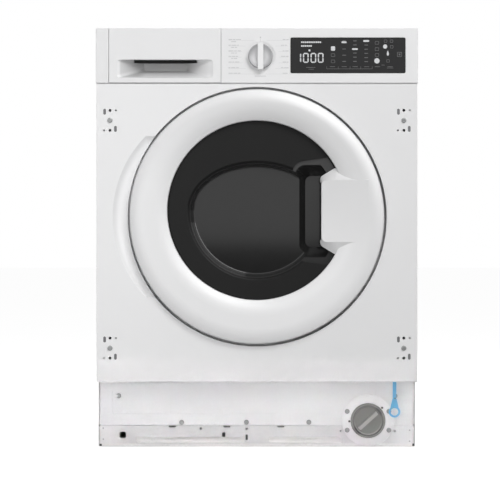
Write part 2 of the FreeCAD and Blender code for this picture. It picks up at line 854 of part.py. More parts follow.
def rear_panel():
    plate = box(-INNER + SEAT, INNER - SEAT, Y_REAR - SHEET, Y_REAR, Z_BASE + BASE_T + SEAT,
                Z_TOP - SHEET - SEAT)
    folds = []
    for x0, x1 in ((-INNER + SEAT, -INNER + SEAT + SHEET), (INNER - SEAT - SHEET, INNER - SEAT)):
        folds.append(box(x0, x1, Y_REAR - FLANGE, Y_REAR - SHEET, Z_LEDGE + FLANGE, Z_TOP - 2 * FLANGE))
    holes = [prism_y(rear_opening(0.0), Y_REAR - 2 * SHEET, Y_REAR + SHEET)]
    holes.append(rod_y(THREAD_R + SEAT, Y_REAR - 2 * SHEET, Y_REAR + SHEET, VALVE_X, Z_TOP - VALVE_DROP))
    holes.append(rod_y(SPIGOT_R + SEAT, Y_REAR - 2 * SHEET, Y_REAR + SHEET, FILTER_X, Z_BASE + DRAIN_UP))
    holes.append(rod_y(GLAND_R + SEAT, Y_REAR - 2 * SHEET, Y_REAR + SHEET, GLAND_X, Z_LEDGE + GLAND_UP))
    for x, z in cover_screw_spots():
        holes.append(rod_y(SCREW_R + SEAT, Y_REAR - 2 * SHEET, Y_REAR + SHEET, x, z))
    return joined([plate] + folds).cut(holes)


def cover_screw_spots():
    low = MOTOR_Z - REAR_LOW - FLANGE / 2
    high = DOOR_Z + PULLEY_R + REAR_HIGH + FLANGE / 2
    wide = PULLEY_R + REAR_SIDE + FLANGE / 2
    middle = (low + high) / 2
    rise = (high - low) / 4
    run = wide / 3
    return [(-wide, middle - rise), (-wide, middle + rise), (wide, middle - rise), (wide, middle + rise),
            (-run, low), (run, low), (-run, high), (run, high)]


def rear_cover():
    rim = prism_y(rear_opening(FLANGE), Y_REAR, Y_REAR + SHEET)
    bulge = SPIGOT_PROUD / 2
    dome = between(wire_xz(rear_opening(-COVER_STEP), Y_REAR + SHEET),
                   wire_xz(rear_opening(-COVER_SLOPE), Y_REAR + bulge))
    hollow = between(wire_xz(rear_opening(-COVER_STEP - SHEET), Y_REAR - SHEET),
                     wire_xz(rear_opening(-COVER_SLOPE - 2 * SHEET), Y_REAR + bulge - SHEET))
    holes = [rod_y(SCREW_R + SEAT, Y_REAR - 1, Y_REAR + 2 * SHEET, x, z) for x, z in cover_screw_spots()]
    return rim.fuse(dome).cut(hollow).cut(holes).removeSplitter()


def top_cover():
    y0 = Y_SIDE
    plate = box(-HALF, HALF, y0, Y_REAR, Z_TOP - SHEET, Z_TOP)
    lips = []
    for x0 in (-INNER + SEAT, INNER - SEAT - SHEET):
        lips.append(box(x0, x0 + SHEET, y0 + TOP_LIP_IN, Y_REAR - TOP_LIP_IN, Z_TOP - FLANGE, Z_TOP - SHEET))
    presses = []
    pads = []
    for share in TOP_PRESSES:
        x = -HALF + WIDTH * share
        wide = 2 * FLANGE
        long = rectangle(x - wide, x + wide, y0 + TOP_PRESS_IN, Y_REAR - TOP_PRESS_IN, FLANGE)
        broad = rectangle(x - wide - SHEET, x + wide + SHEET, y0 + TOP_PRESS_IN - SHEET,
                          Y_REAR - TOP_PRESS_IN + SHEET, FLANGE)
        pads.append(prism_z(broad, Z_TOP - 2 * SHEET, Z_TOP - SHEET))
        presses.append(prism_z(long, Z_TOP - SHEET, Z_TOP))
    return joined([plate] + lips + pads).cut(presses)


def top_rails():
    rails = []
    for y in (Y_FASCIA + DRAWER_FRONT_D + FLANGE, Y_REAR - 3 * FLANGE):
        z1 = Z_TOP - 2 * SHEET - SEAT
        flat = box(-INNER + SEAT, INNER - SEAT, y, y + 2 * FLANGE, z1 - SHEET, z1)
        lip = box(-INNER + SEAT, INNER - SEAT, y, y + SHEET, z1 - 2 * SHEET, z1)
        rails.append(flat.fuse(lip))
    return group(rails)


# Plinth and base
def plinth_features():
    """Round and oblong holes along the rail: centre x, height above the base, width, height."""
    square = (SQUARE_X, SQUARE_UP, SQUARE_W, SQUARE_W)
    latch = (LATCH_X, LATCH_UP, LATCH_W, LATCH_H)
    slit = (SLIT_X, SLIT_UP, SLIT_W, SLIT_H)
    pilots = tuple((x, up, PILOT_W, PILOT_W) for x, up in zip(PILOT_XS, PILOT_UPS))
    slots = tuple((x, EDGE_SLOT_UP, EDGE_SLOT_W, EDGE_SLOT_H) for x in EDGE_SLOT_XS)
    return (square, pilots[0], latch, pilots[1], slit, pilots[2]) + slots + pilots[3:]


def bezel_screws():
    return [(FILTER_X + i * BEZEL_SCREW_X, FILTER_Z + j * BEZEL_SCREW_Z) for i in (-1, 1) for j in (-1, 1)]


def plinth_screw_spots():
    spots = [(x, Y_PLINTH, Z_LEDGE + SCREW_HEAD_R + 1) for x in RAIL_SCREWS]
    spots += [(-PANEL_SCREW_X, Y_PLINTH, Z_BASE + PANEL_SCREW_UP),
              (PANEL_SCREW_X, Y_PLINTH, Z_BASE + PANEL_SCREW_UP)]
    return spots


def service_panel():
    z0 = Z_LEDGE + SEAT
    z1 = Z_PANEL - SEAT
    wide = INNER - PLINTH_GAP
    plate = box(-wide, wide, Y_PLINTH, Y_PLINTH + SHEET, z0, z1)
    pads = []
    press = []
    left = PANEL_PRESS_SIDE - HALF
    span = FILTER_X - BEZEL_R - PANEL_PRESS_END - left
    for start, end in zip(PANEL_PRESS_SHARES, PANEL_PRESS_SHARES[1:]):
        x0 = left + span * start + PANEL_PRESS_GAP / 2
        x1 = left + span * end - PANEL_PRESS_GAP / 2
        low = z0 + 3 * FLANGE / 2
        high = z1 - FLANGE
        broad = rectangle(x0 - SHEET, x1 + SHEET, low - SHEET, high + SHEET, FLANGE / 3)
        pads.append(prism_y(broad, Y_PLINTH + SHEET, Y_PLINTH + 2 * SHEET))
        press.append(prism_y(rectangle(x0, x1, low, high, FLANGE / 3), Y_PLINTH, Y_PLINTH + SHEET))
    holes = [rod_y(SCREW_R + SEAT, Y_PLINTH - 1, Y_PLINTH + 3 * SHEET, x, z)
             for x, _, z in plinth_screw_spots()]
    holes += [rod_y(SCREW_R + SEAT, Y_PLINTH - 1, Y_PLINTH + 3 * SHEET, x, z) for x, z in bezel_screws()]
    holes.append(rod_y(CAP_R + 2 * CAP_FIT, Y_PLINTH - 1, Y_PLINTH + 3 * SHEET, FILTER_X, FILTER_Z))
    return joined([plate] + pads).cut(press + holes)


def strips(y0, y1):
    """The two long slots along the rail, left and right of its middle."""
    low = Z_BASE + BASE_T + SHEET
    spans = ((STRIP_SIDE - HALF, -STRIP_GAP), (STRIP_GAP, FILTER_X - BEZEL_R))
    return [prism_y(rectangle(x0, x1, low, low + STRIP_H, STRIP_H / 3), y0, y1) for x0, x1 in spans]


def plinth_rail():
    wide = INNER - PLINTH_GAP
    front = box(-wide, wide, Y_LEDGE, Y_LEDGE + BASE_WALL, Z_BASE + BASE_T, Z_LEDGE)
    shelf = box(-wide, wide, Y_LEDGE, Y_PLINTH + 3 * SHEET, Z_LEDGE - SHEET, Z_LEDGE)
    body = front.fuse(shelf)
    cuts = []
    for x, up, w, h in plinth_features():
        corners = rectangle(x - w / 2, x + w / 2, Z_BASE + up - h / 2, Z_BASE + up + h / 2,
                            min(w, h) * HOLE_ROUND)
        cuts.append(prism_y(corners, Y_LEDGE - 1, Y_LEDGE + BASE_WALL + 1))
    cuts += strips(Y_LEDGE - 1, Y_LEDGE + BASE_WALL + 1)
    cuts.append(rod_y(CAP_R + 2 * CAP_FIT, Y_LEDGE - 1, Y_PLINTH + 4 * SHEET, FILTER_X, FILTER_Z))
    cuts += [rod_y(SCREW_R + SEAT, Y_LEDGE - 1, Y_PLINTH, x, z) for x, z in bezel_screws()]
    return body.cut(cuts).removeSplitter()


def filter_bezel():
    """Round trim on the rail's face round the filter cap, packed out behind to the service panel."""
    r = CAP_R + CAP_FIT
    y0 = Y_LEDGE - BEZEL_T
    ring = turned_y([(r, y0, 0.5), (BEZEL_R, y0, 1.0), (BEZEL_R, Y_LEDGE), (r, Y_LEDGE)], FILTER_X, FILTER_Z)
    packing = tube_y(BEZEL_R - 1, r, Y_LEDGE, Y_PLINTH, FILTER_X, FILTER_Z)
    below = box(FILTER_X - 2 * BEZEL_R, FILTER_X + 2 * BEZEL_R, Y_LEDGE, Y_PLINTH, Z_BASE - BEZEL_R,
                Z_LEDGE + SEAT)
    floor = box(FILTER_X - 2 * BEZEL_R, FILTER_X + 2 * BEZEL_R, y0 - 1, Y_PLINTH, Z_BASE - BEZEL_R,
                Z_BASE + SEAT)
    holes = [rod_y(SCREW_R + SEAT, y0 - 1, Y_PLINTH + 1, x, z) for x, z in bezel_screws()]
    return ring.fuse(packing.cut(below)).cut(holes + [floor]).removeSplitter()


def foot_spots():
    return [(sx * FOOT_X, y) for sx in (-1, 1) for y in (Y_FRONT + FOOT_FRONT, Y_REAR - FOOT_REAR)]


def base_tray():
    wide = INNER - SEAT
    y0 = Y_LEDGE
    y1 = Y_REAR - SEAT
    floor = box(-wide, wide, y0, y1, Z_BASE, Z_BASE + BASE_T)
    yw = Y_LEDGE + BASE_WALL
    wall_top = Z_LEDGE - 2 * SHEET
    wall = box(-wide, wide, yw, y1 - SHEET, Z_BASE + BASE_T, wall_top)
    wall = wall.cut(box(-wide + BASE_WALL, wide - BASE_WALL, yw + BASE_WALL, y1 - SHEET - BASE_WALL, Z_BASE,
                        wall_top))
    parts = [floor, wall]
    for x, y in foot_spots():
        parts.append(rod_z(PAD_R + CUP_GAP + BASE_WALL, Z_BASE, Z_BASE + CUP_H + BASE_WALL, x, y))
        parts.append(rod_z(BOSS_R, Z_BASE + BASE_T, Z_BASE + BOSS_H, x, y))
    for side in (-1, 1):
        parts.append(rod_z(DAMPER_R, Z_BASE + BASE_T, Z_BASE + 2 * BASE_T, side * DAMPER_X, 0))
    body = joined(parts)
    cuts = [rod_z(STUD_R + RUN, Z_BASE - 1, Z_BASE + BOSS_H + 1, x, y) for x, y in foot_spots()]
    cuts += [rod_z(PAD_R + CUP_GAP, Z_BASE - 1, Z_BASE + CUP_H, x, y) for x, y in foot_spots()]
    cuts += strips(yw - 1, Y_LEDGE + STRIP_SINK)
    cuts.append(rod_y(CAP_R + CHAMBER_WALL + 2, yw - 1, yw + 2 * BASE_WALL, FILTER_X, FILTER_Z))
    cuts += [rod_y(SCREW_R + SEAT, yw - 1, yw + 2 * BASE_WALL, x, z) for x, z in bezel_screws()]
    for x, up, w, h in plinth_features():
        cuts.append(box(x - w / 2, x + w / 2, yw - 1, yw + BASE_WALL + 1, Z_BASE + up - h / 2,
                        Z_BASE + up + h / 2))
    return body.cut(cuts).removeSplitter()


def foot(x, y):
    pad = turned_z([(0, 0), (PAD_R - PAD_EDGE, 0, 1.0), (PAD_R, PAD_EDGE),
                    (PAD_R, PAD_H - PAD_EDGE, PAD_TOP_ROUND), (STUD_R + PAD_FLARE, PAD_H), (0, PAD_H)], x, y)
    return pad.fuse(rod_z(STUD_R, PAD_H - 1, STUD_LEN, x, y))


def hexagon(radius, x, y):
    return [(x + radius * math.cos(math.radians(60 * i)), y + radius * math.sin(math.radians(60 * i)))
            for i in range(6)]


def foot_nuts():
    nuts = []
    for x, y in foot_spots():
        top = Z_BASE + CUP_H
        nut = prism_z(hexagon(NUT_R, x, y), top - NUT_H, top)
        nuts.append(nut.cut(rod_z(STUD_R + RUN, top - NUT_H - 1, top + 1, x, y)))
    return nuts


# Door
def arched(start, control, end):
    """A curve that leaves start at a slant and runs flat into end."""
    curve = Part.BezierCurve()
    curve.setPoles([start, control, end])
    return curve.toShape()


def rim_at(solid, y, radius):
    """The round edges of a solid in the plane y with this radius."""
    found = []
    for edge in solid.Edges:
        bounds = edge.BoundBox
        flat = abs(bounds.YMin - y) < 1e-4 and abs(bounds.YMax - y) < 1e-4
        if flat and abs(edge.Curve.Radius - radius) < 1e-4:
            found.append(edge)
    return found


def crown(r_outer, height, foot):
    """Solid under the door's outer half arch: upright rim, rounded edge, slope that flattens to the crest."""
    y_edge = out(height - CROWN_RISE)
    base = V(r_outer, y_edge, 0)
    top = V(r_outer - CROWN_RUN, out(height), 0)
    arc = arched(base, V(r_outer - CROWN_RUN / 2, out(height), 0), top)
    axis_top = V(0, out(height), 0)
    axis_foot = V(0, out(foot), 0)
    rim_foot = V(r_outer, out(foot), 0)
    edges = [Part.makeLine(axis_foot, rim_foot), Part.makeLine(rim_foot, base), arc,
             Part.makeLine(top, axis_top), Part.makeLine(axis_top, axis_foot)]
    solid = turned_edges(edges, V(0, 0, 0))
    solid = solid.makeFillet(CROWN_EDGE, rim_at(solid, y_edge, r_outer))
    solid.translate(ORIGIN_DOOR)
    return solid


def bevel(r_inner, height, foot):
    """What the window opens out of the crown: an upright wall, then a slope that flattens to the crest."""
    low = V(r_inner, out(foot), 0)
    start = V(r_inner, out(height - BEVEL_RISE), 0)
    end = V(r_inner + BEVEL_RUN, out(height), 0)
    arc = arched(start, V(r_inner + BEVEL_RUN / 2, out(height), 0), end)
    over = out(height + DOOR_PROUD)
    axis_low = V(0, out(foot), 0)
    axis_high = V(0, over, 0)
    rim = V(r_inner + BEVEL_RUN, over, 0)
    edges = [Part.makeLine(axis_low, low), Part.makeLine(low, start), arc, Part.makeLine(end, rim),
             Part.makeLine(rim, axis_high), Part.makeLine(axis_high, axis_low)]
    solid = turned_edges(edges, V(0, 0, 0))
    solid.translate(ORIGIN_WINDOW)
    return solid


def grip_outline(y, slope):
    flare = GRIP_HALF + GRIP_FLARE
    shoulder = GRIP_LEFT + GRIP_SHOULDER
    half = GRIP_HALF - slope * GRIP_SLOPE_SIDE
    corners = [(GRIP_LEFT + slope * GRIP_NIP, -half, GRIP_CORNER), (shoulder, -flare + slope, GRIP_CORNER),
               (GRIP_RIGHT, -flare + slope), (GRIP_RIGHT, flare - slope),
               (shoulder, flare - slope, GRIP_CORNER),
               (GRIP_LEFT + slope * GRIP_NIP, half, GRIP_CORNER)]
    return wire_xz([(c[0], GRIP_Z + c[1]) + c[2:] for c in corners], y)


def door_ring():
    """White outer ring: crest between two eccentric circles, with the grip plate at the right."""
    shell = crown(DOOR_R, DOOR_PROUD, -DOOR_FOOT).cut(bevel(WINDOW_R, DOOR_PROUD, BEVEL_FOOT))
    shell = shell.makeFillet(BEVEL_EDGE, rim_at(shell, out(DOOR_PROUD - BEVEL_RISE), WINDOW_R))
    core = crown(DOOR_R - DOOR_WALL, DOOR_PROUD - DOOR_WALL, -DOOR_FOOT - 1)
    core = core.cut(bevel(WINDOW_R + DOOR_WALL, DOOR_PROUD - DOOR_WALL, -DOOR_FOOT - 1))
    bore = rod_y(WINDOW_R, out(DOOR_PROUD), out(-DOOR_FOOT - 1), 0, WINDOW_Z)
    ring = shell.cut(core).cut(bore)
    grip = between(grip_outline(out(BEVEL_FOOT), 0.0), grip_outline(out(DOOR_PROUD), GRIP_SLOPE))
    fingers = prism_y(rectangle(GRIP_LEFT - FINGER_RUN_IN, GRIP_LEFT + GRIP_FINGERS,
                                GRIP_Z - GRIP_HALF + FINGER_INSET, GRIP_Z + GRIP_HALF - FINGER_INSET,
                                FINGER_ROUND),
                      out(DOOR_PROUD - GRIP_T), out(0))
    hinge_half = ARM_HALF + BRACKET_LEN + 1
    notch = box(-DOOR_R - 1, -SWING_X, out(HINGE_NOTCH), out(-DOOR_FOOT - 1), DOOR_Z - hinge_half,
                DOOR_Z + hinge_half)
    return ring.fuse(grip).cut([fingers, notch]).removeSplitter()


def dish_outline(inset, y):
    """Half a circle below, half a flattened ellipse above, both as wide as the dish."""
    r = DISH_R - inset
    t = DISH_TOP - inset
    left = V(-r, y, WINDOW_Z)
    right = V(r, y, WINDOW_Z)
    top = V(0, y, WINDOW_Z + t)
    low = V(0, y, WINDOW_Z - r)
    edges = [quarter(left, V(-r, y, WINDOW_Z + t), top), quarter(top, V(r, y, WINDOW_Z + t), right),
             quarter(right, V(r, y, WINDOW_Z - r), low), quarter(low, V(-r, y, WINDOW_Z - r), left)]
    return Part.Wire(edges)


def pocket(grow, depth, y_top):
    wide = rectangle(POCKET_LEFT - grow, POCKET_RIGHT + grow, GRIP_Z - POCKET_HALF - grow,
                     GRIP_Z + POCKET_HALF + grow, POCKET_CORNER)
    d = POCKET_DRAFT
    floor = rectangle(POCKET_LEFT - grow + d, POCKET_RIGHT + grow - POCKET_IN,
                      GRIP_Z - POCKET_HALF - grow + d,
                      GRIP_Z + POCKET_HALF + grow - d, POCKET_CORNER / 2)
    return between(wire_xz(wide, y_top), wire_xz(floor, out(-depth)))


def dish_hollow(face):
    """The dish's hollow: its wall leaves the face softly, steepens and runs out into the floor."""
    run = DISH_ROUND + DISH_DRAFT
    y_floor = out(-DISH_DEPTH)
    wires = []
    for i in range(DISH_STEPS + 1):
        share = i / DISH_STEPS
        ease = DISH_EASE * share + (1 - DISH_EASE) * share * share * (3 - 2 * share)
        wires.append(dish_outline(run * share - DISH_ROUND, face + (y_floor - face) * ease))
    return Part.makeLoft(wires, True, False)


def mouth(grow, y0, y1):
    """Shallow opening of the finger pocket, which runs out under the ring at the right."""
    left = POCKET_LEFT - grow
    half = POCKET_HALF + grow
    far = half + MOUTH_RISE * (WINDOW_R - POCKET_LEFT) / GRIP_SHOULDER / 2
    corners = [(left, -half, POCKET_CORNER), (WINDOW_R, -far), (WINDOW_R, far), (left, half, POCKET_CORNER)]
    return prism_y([(c[0], GRIP_Z + c[1]) + c[2:] for c in corners], y0, y1)


def door_window():
    """Dark cover with the shallow dish and the finger pocket moulded into it."""
    face = out(WINDOW_SINK)
    back = out(WINDOW_SINK - WINDOW_T)
    seat = out(-DOOR_FOOT)
    plate = rod_y(WINDOW_R - SEAT, face, seat + WINDOW_T, 0, WINDOW_Z)
    rim = rod_y(WINDOW_R + WINDOW_FLANGE, seat, seat + WINDOW_T, 0, WINDOW_Z)
    hollow = rod_y(WINDOW_R - 2 * WINDOW_T, back, seat + WINDOW_T + 1, 0, WINDOW_Z)
    cover = plate.fuse(rim).cut(hollow)
    t = WINDOW_T
    deep = out(-POCKET_DEPTH - 2 * t)
    clear_r = GLASS_R - GLASS_T - GLASS_CLEAR
    limit = rod_y(WINDOW_R - 2 * t, face, deep, 0, WINDOW_Z).common(rod_y(clear_r, face, deep, 0, DOOR_Z))
    limit_in = rod_y(WINDOW_R - 3 * t, face, deep, 0,
                     WINDOW_Z).common(rod_y(clear_r - t, face, deep, 0, DOOR_Z))
    dish_back = between(dish_outline(-DISH_ROUND - t, face),
                        dish_outline(DISH_DRAFT - t, out(-DISH_DEPTH - t)))
    dish_front = dish_hollow(face)
    plate_back = out(WINDOW_SINK - MOUTH_DEPTH - t)
    mouth_back = mouth(t, face, plate_back).common(rod_y(WINDOW_R - t, face, deep, 0, WINDOW_Z))
    mouth_front = mouth(0.0, face, out(WINDOW_SINK - MOUTH_DEPTH))
    mouth_front = mouth_front.common(rod_y(WINDOW_R - MOUTH_RIM, face, deep, 0, WINDOW_Z))
    pocket_back = pocket(t, POCKET_DEPTH + t, face).common(limit)
    pocket_front = pocket(0.0, POCKET_DEPTH, face).common(limit_in)
    whole = joined([cover, dish_back, pocket_back, mouth_back])
    return whole.cut([dish_front, pocket_front, mouth_front]).removeSplitter()


def glass_profile(r, depth, floor_r, y0):
    """A bowl's outline: near-straight wall, generous corner, flat floor."""
    return [(0, y0), (r, y0), (r - GLASS_LEAN, y0 + depth * GLASS_BELLY, depth),
            (floor_r, y0 + depth, GLASS_ROUND), (0, y0 + depth)]


def door_glass():
    """Clear bowl that reaches through the door seal into the drum's mouth."""
    y0 = out(-DOOR_FOOT) + WINDOW_T
    outer = turned_y(glass_profile(GLASS_R, GLASS_DEPTH, GLASS_FLOOR_R, y0), 0, DOOR_Z)
    inner = turned_y(glass_profile(GLASS_R - GLASS_T, GLASS_DEPTH - GLASS_T, GLASS_FLOOR_R - GLASS_T, y0),
                     0, DOOR_Z)
    lip = rod_y(GLASS_R + FRAME_LAP, y0, y0 + GLASS_T, 0, DOOR_Z)
    return outer.fuse(lip).cut(inner).removeSplitter()


def door_frame():
    """Rear ring of the door, which clamps the glass and carries the arm and the hook."""
    y0 = out(-DOOR_FOOT)
    lip_r = GLASS_R + FRAME_LAP + SEAT
    flange_r = WINDOW_R + WINDOW_FLANGE + WINDOW_UP + SEAT
    y_glass = y0 + WINDOW_T + GLASS_T
    y1 = y0 + FRAME_T
    corners = [(GLASS_R + GLASS_FIT, y_glass), (lip_r, y_glass), (lip_r, y0 + WINDOW_T),
               (flange_r, y0 + WINDOW_T),
               (flange_r, y0), (FRAME_R, y0), (FRAME_R, y1, FRAME_ROUND),
               (GLASS_R + GLASS_FIT, y1, FRAME_LIP_ROUND)]
    ring = turned_y(corners, 0, DOOR_Z)
    reach = SWING_X + KNUCKLE_R
    clear = box(-reach - CUT_PAST, -SWING_X + 2 * KNUCKLE_R, y0 - 1, y1 + 1,
                DOOR_Z - ARM_HALF - BRACKET_LEN - 2,
                DOOR_Z + ARM_HALF + BRACKET_LEN + 2)
    nook = box(HOOK_X - 2 * HOOK_T, HOOK_X + HOOK_T, y0 + MOULD, y1 + 1, DOOR_Z - HOOK_T / 2 - SEAT,
               DOOR_Z + HOOK_T / 2 + SEAT)
    pin = rod_z(HOOK_PIN_R, DOOR_Z - HOOK_T, DOOR_Z + HOOK_T, HOOK_X - HOOK_T / 2, hook_pin_y())
    return ring.cut([clear, nook]).fuse(pin).removeSplitter()


def hook_pin_y():
    return out(-DOOR_FOOT) + FRAME_T - HOOK_PIN_R - 2.0


def door_hook():
    """Spring catch: a claw on an upright pin in the door frame."""
    x = HOOK_X - HOOK_T / 2
    y = hook_pin_y()
    corners = [(x - HOOK_HALF, y - HOOK_BACK, HOOK_ROUND), (x + HOOK_HALF, y - HOOK_BACK, HOOK_ROUND),
               (x + HOOK_HALF, y + HOOK_REACH - HOOK_NECK, 1.0),
               (x + HOOK_NOSE, y + HOOK_REACH - HOOK_TIP, 1.0), (x + 2.0, y + HOOK_REACH, 2.0),
               (x - HOOK_HALF, y + HOOK_REACH - HOOK_TIP, 2.0)]
    claw = prism_z(corners, DOOR_Z - HOOK_T / 2, DOOR_Z + HOOK_T / 2)
    return claw.cut(rod_z(HOOK_PIN_R + RUN, DOOR_Z - HOOK_T, DOOR_Z + HOOK_T, x, y))


def door_lock():
    y0 = out(-NEST_DEPTH) + SHEET
    x0 = HOOK_X - LOCK_W / 2
    x1 = HOOK_X + LOCK_W / 2
    body = prism_z([(x0, y0), (x1, y0), (x1, y0 + LOCK_D, LOCK_ROUND), (x0, y0 + LOCK_D, LOCK_ROUND)],
                   DOOR_Z - LOCK_H / 2, DOOR_Z + LOCK_H / 2)
    low = DOOR_Z - LOCK_H / 2
    strap_y = Y_FRONT + TAG_SETBACK
    half = TAG_W / 2
    arm = box(HOOK_X, TAG_X + half + MOULD, y0 + MOULD, strap_y + TAG_T + MOULD, low - LOCK_ARM_H, low)
    guide = box(TAG_X - half - RUN, TAG_X + half + RUN, strap_y - RUN, strap_y + TAG_T + RUN, low - LOCK_H,
                low)
    mouth = box(HOOK_X - HOOK_ROOM * HOOK_T, HOOK_X + HOOK_ROOM * HOOK_T, y0 - 1, y0 + LOCK_D - MOULD,
                DOOR_Z - HOOK_T, DOOR_Z + HOOK_T)
    return body.fuse(arm.cut(guide)).cut(mouth).removeSplitter()


def swing_y():
    return out(-SWING_IN)


def hinge_bracket():
    """Fixed half of the door hinge: a plate in the nest with two knuckles and the pin."""
    floor = out(-NEST_DEPTH)
    y = swing_y()
    half = ARM_HALF + BRACKET_LEN
    plate = box(-SWING_X - KNUCKLE_R + BRACKET_IN, -SWING_X + 3 * KNUCKLE_R, floor - BRACKET_T, floor,
                DOOR_Z - half, DOOR_Z + half)
    parts = [plate]
    for side in (-1, 1):
        z0 = DOOR_Z + ARM_HALF + SEAT if side > 0 else DOOR_Z - half
        z1 = DOOR_Z + half if side > 0 else DOOR_Z - ARM_HALF - SEAT
        parts.append(rod_z(KNUCKLE_R, z0, z1, -SWING_X, y))
        parts.append(box(-SWING_X + LUG_SHIFT, -SWING_X + KNUCKLE_R, y, floor - 1, z0, z1))
    body = joined(parts)
    pin = rod_z(PIN_R, DOOR_Z - half, DOOR_Z + half, -SWING_X, y)
    return body.fuse(pin).removeSplitter()


def hinge_arm():
    """Moving half of the door hinge, screwed to the back of the door frame."""
    y = swing_y()
    y1 = out(-DOOR_FOOT) + FRAME_T
    half = ARM_HALF - SEAT
    knuckle = rod_z(KNUCKLE_R, DOOR_Z - half, DOOR_Z + half, -SWING_X, y)
    plate = box(-SWING_X, -SWING_X + ARM_KNUCKLES * KNUCKLE_R, y1, y1 + MOULD, DOOR_Z - half, DOOR_Z + half)
    web = box(-SWING_X, -SWING_X + 2 * KNUCKLE_R - 1, y - KNUCKLE_R, y1 + MOULD, DOOR_Z - half, DOOR_Z + half)
    web = web.cut(box(-SWING_X, -SWING_X + 3 * KNUCKLE_R, y - 2 * KNUCKLE_R, y - KNUCKLE_R / 2,
                      DOOR_Z - half, DOOR_Z + half))
    glass_side = rod_y(GLASS_R + GLASS_FIT, y1 - 1, y1 + 2 * MOULD, 0, DOOR_Z)
    body = joined([knuckle, plate, web]).cut(glass_side)
    return body.cut(rod_z(PIN_R + RUN, DOOR_Z - half - 1, DOOR_Z + half + 1, -SWING_X, y)).removeSplitter()


def door_seal():
    """Rubber bellows from the panel's collar to the tub's mouth."""
    y_collar = out(-NEST_DEPTH)
    y_end = y_collar + COLLAR_LEN
    r0 = PORT_R - SEAT
    t = HOSE_T
    y_mouth = Y_TUB - MOUTH_LEN
    r1 = MOUTH_R - TUB_WALL - SEAT
    corners = [(r0, y_collar - SEAL_LIP, 1.0), (r0, y_end + SEAL_STEP),
               (r0 + 2 * t, y_end + SEAL_STEP, 1.0), (r0 + 2 * t, y_end + SEAL_STEP + t, 1.0),
               (r0 - t, y_end + SEAL_STEP + t, 1.0), (r0 - t, y_mouth + SEAL_TUCK),
               (r1, y_mouth + SEAL_TUCK), (r1, y_mouth + SEAL_END, 1.0),
               (r0 - 2 * t, y_mouth + SEAL_END, SEAL_END_ROUND), (r0 - 2 * t, y_collar + SEAL_IN, 1.0),
               (r0 - SEAL_TAPER * t, y_collar - SEAL_LIP, 1.0)]
    return turned_y(corners, 0, DOOR_Z)


# Control fascia
def control_fascia():
    half = WIDTH / 2
    y1 = Y_FASCIA + FASCIA_PROUD + FLANGE
    shell = box(-half, half, Y_FASCIA, y1, Z_FASCIA, Z_TOP)
    edges = [e for e in shell.Edges if abs(e.BoundBox.YMax - Y_FASCIA) < 1e-6]
    shell = shell.makeFillet(EDGE_ROUND, edges)
    shell = shell.cut(box(-half + MOULD, half - MOULD, Y_FASCIA + MOULD, y1, Z_FASCIA + MOULD,
                          Z_TOP - DRAWER_TOP))
    x0 = DRAWER_X - DRAWER_W / 2 - DRAWER_GAP
    x1 = DRAWER_X + DRAWER_W / 2 + DRAWER_GAP
    door = box(x0, x1, Y_FASCIA - 1, y1 + 1, Z_FASCIA - 1, Z_TOP - DRAWER_TOP)
    door = door.fuse(box(x0, x1, Y_FASCIA - 1, Y_FASCIA + MOULD + SEAT, Z_FASCIA - 1, Z_TOP + 1))
    display = display_outline(SEAT)
    z = Z_FASCIA + DISPLAY_UP
    ledge = rectangle(DISPLAY_X - DISPLAY_W / 2 + DISPLAY_LEDGE, DISPLAY_X + DISPLAY_W / 2 - DISPLAY_LEDGE,
                      z - DISPLAY_H / 2 + DISPLAY_LEDGE, z + DISPLAY_H / 2 - DISPLAY_LEDGE, DISPLAY_CORNER)
    cheeks = []
    for x in (x0 - MOULD, x1):
        cheeks.append(box(x, x + MOULD, Y_FASCIA + MOULD / 2, y1, Z_FASCIA + MOULD / 2, Z_TOP - DRAWER_TOP))
    cuts = [door, prism_y(display, Y_FASCIA - 1, Y_FASCIA + LENS_T),
            prism_y(ledge, Y_FASCIA, Y_FASCIA + 2 * MOULD)]
    cuts.append(rod_y(KNOB_STEM_R + 1.0, Y_FASCIA - 1, Y_FASCIA + 2 * MOULD, KNOB_X, KNOB_Z))
    cuts.append(tube_y(KNOB_RING_R + RING_GROOVE, KNOB_RING_R, Y_FASCIA, Y_FASCIA + RING_GROOVE, KNOB_X,
                       KNOB_Z))
    return joined([shell] + cheeks).cut(cuts).removeSplitter()


def display_outline(grow):
    z = Z_FASCIA + DISPLAY_UP
    return rectangle(DISPLAY_X - DISPLAY_W / 2 - grow, DISPLAY_X + DISPLAY_W / 2 + grow,
                     z - DISPLAY_H / 2 - grow,
                     z + DISPLAY_H / 2 + grow, DISPLAY_CORNER)


def display_lens():
    return prism_y(display_outline(0.0), Y_FASCIA - LENS_PROUD, Y_FASCIA + LENS_T)


def control_board():
    """Display and selector board on posts behind the fascia, with the selector's bushing."""
    y0 = Y_FASCIA + MOULD + FLANGE / 2
    x0 = KNOB_X - 2 * KNOB_R
    x1 = DISPLAY_X + DISPLAY_W / 2
    z0 = Z_FASCIA + 2 * MOULD
    z1 = Z_TOP - 3 * MOULD
    board = box(x0, x1, y0, y0 + BOARD_T, z0, z1)
    posts = []
    for x in (x0 + BOARD_PEG_IN, KNOB_X + KNOB_R + BOARD_PEG_GAP, x1 + 1):
        for z in (z0 + BOARD_PEG_IN, z1 - BOARD_PEG_IN):
            posts.append(rod_y(MOULD, Y_FASCIA + MOULD, y0, x, z))
    bush = tube_y(BUSH_SHARE * KNOB_STEM_R, KNOB_STEM_R + RUN, Y_FASCIA + MOULD + 1,
                  y0 + BOARD_T + BUSH_LEN, KNOB_X, KNOB_Z)
    board = board.cut(rod_y(KNOB_STEM_R + RUN, y0 - 1, y0 + BOARD_T + 1, KNOB_X, KNOB_Z))
    return joined([board, bush] + posts)


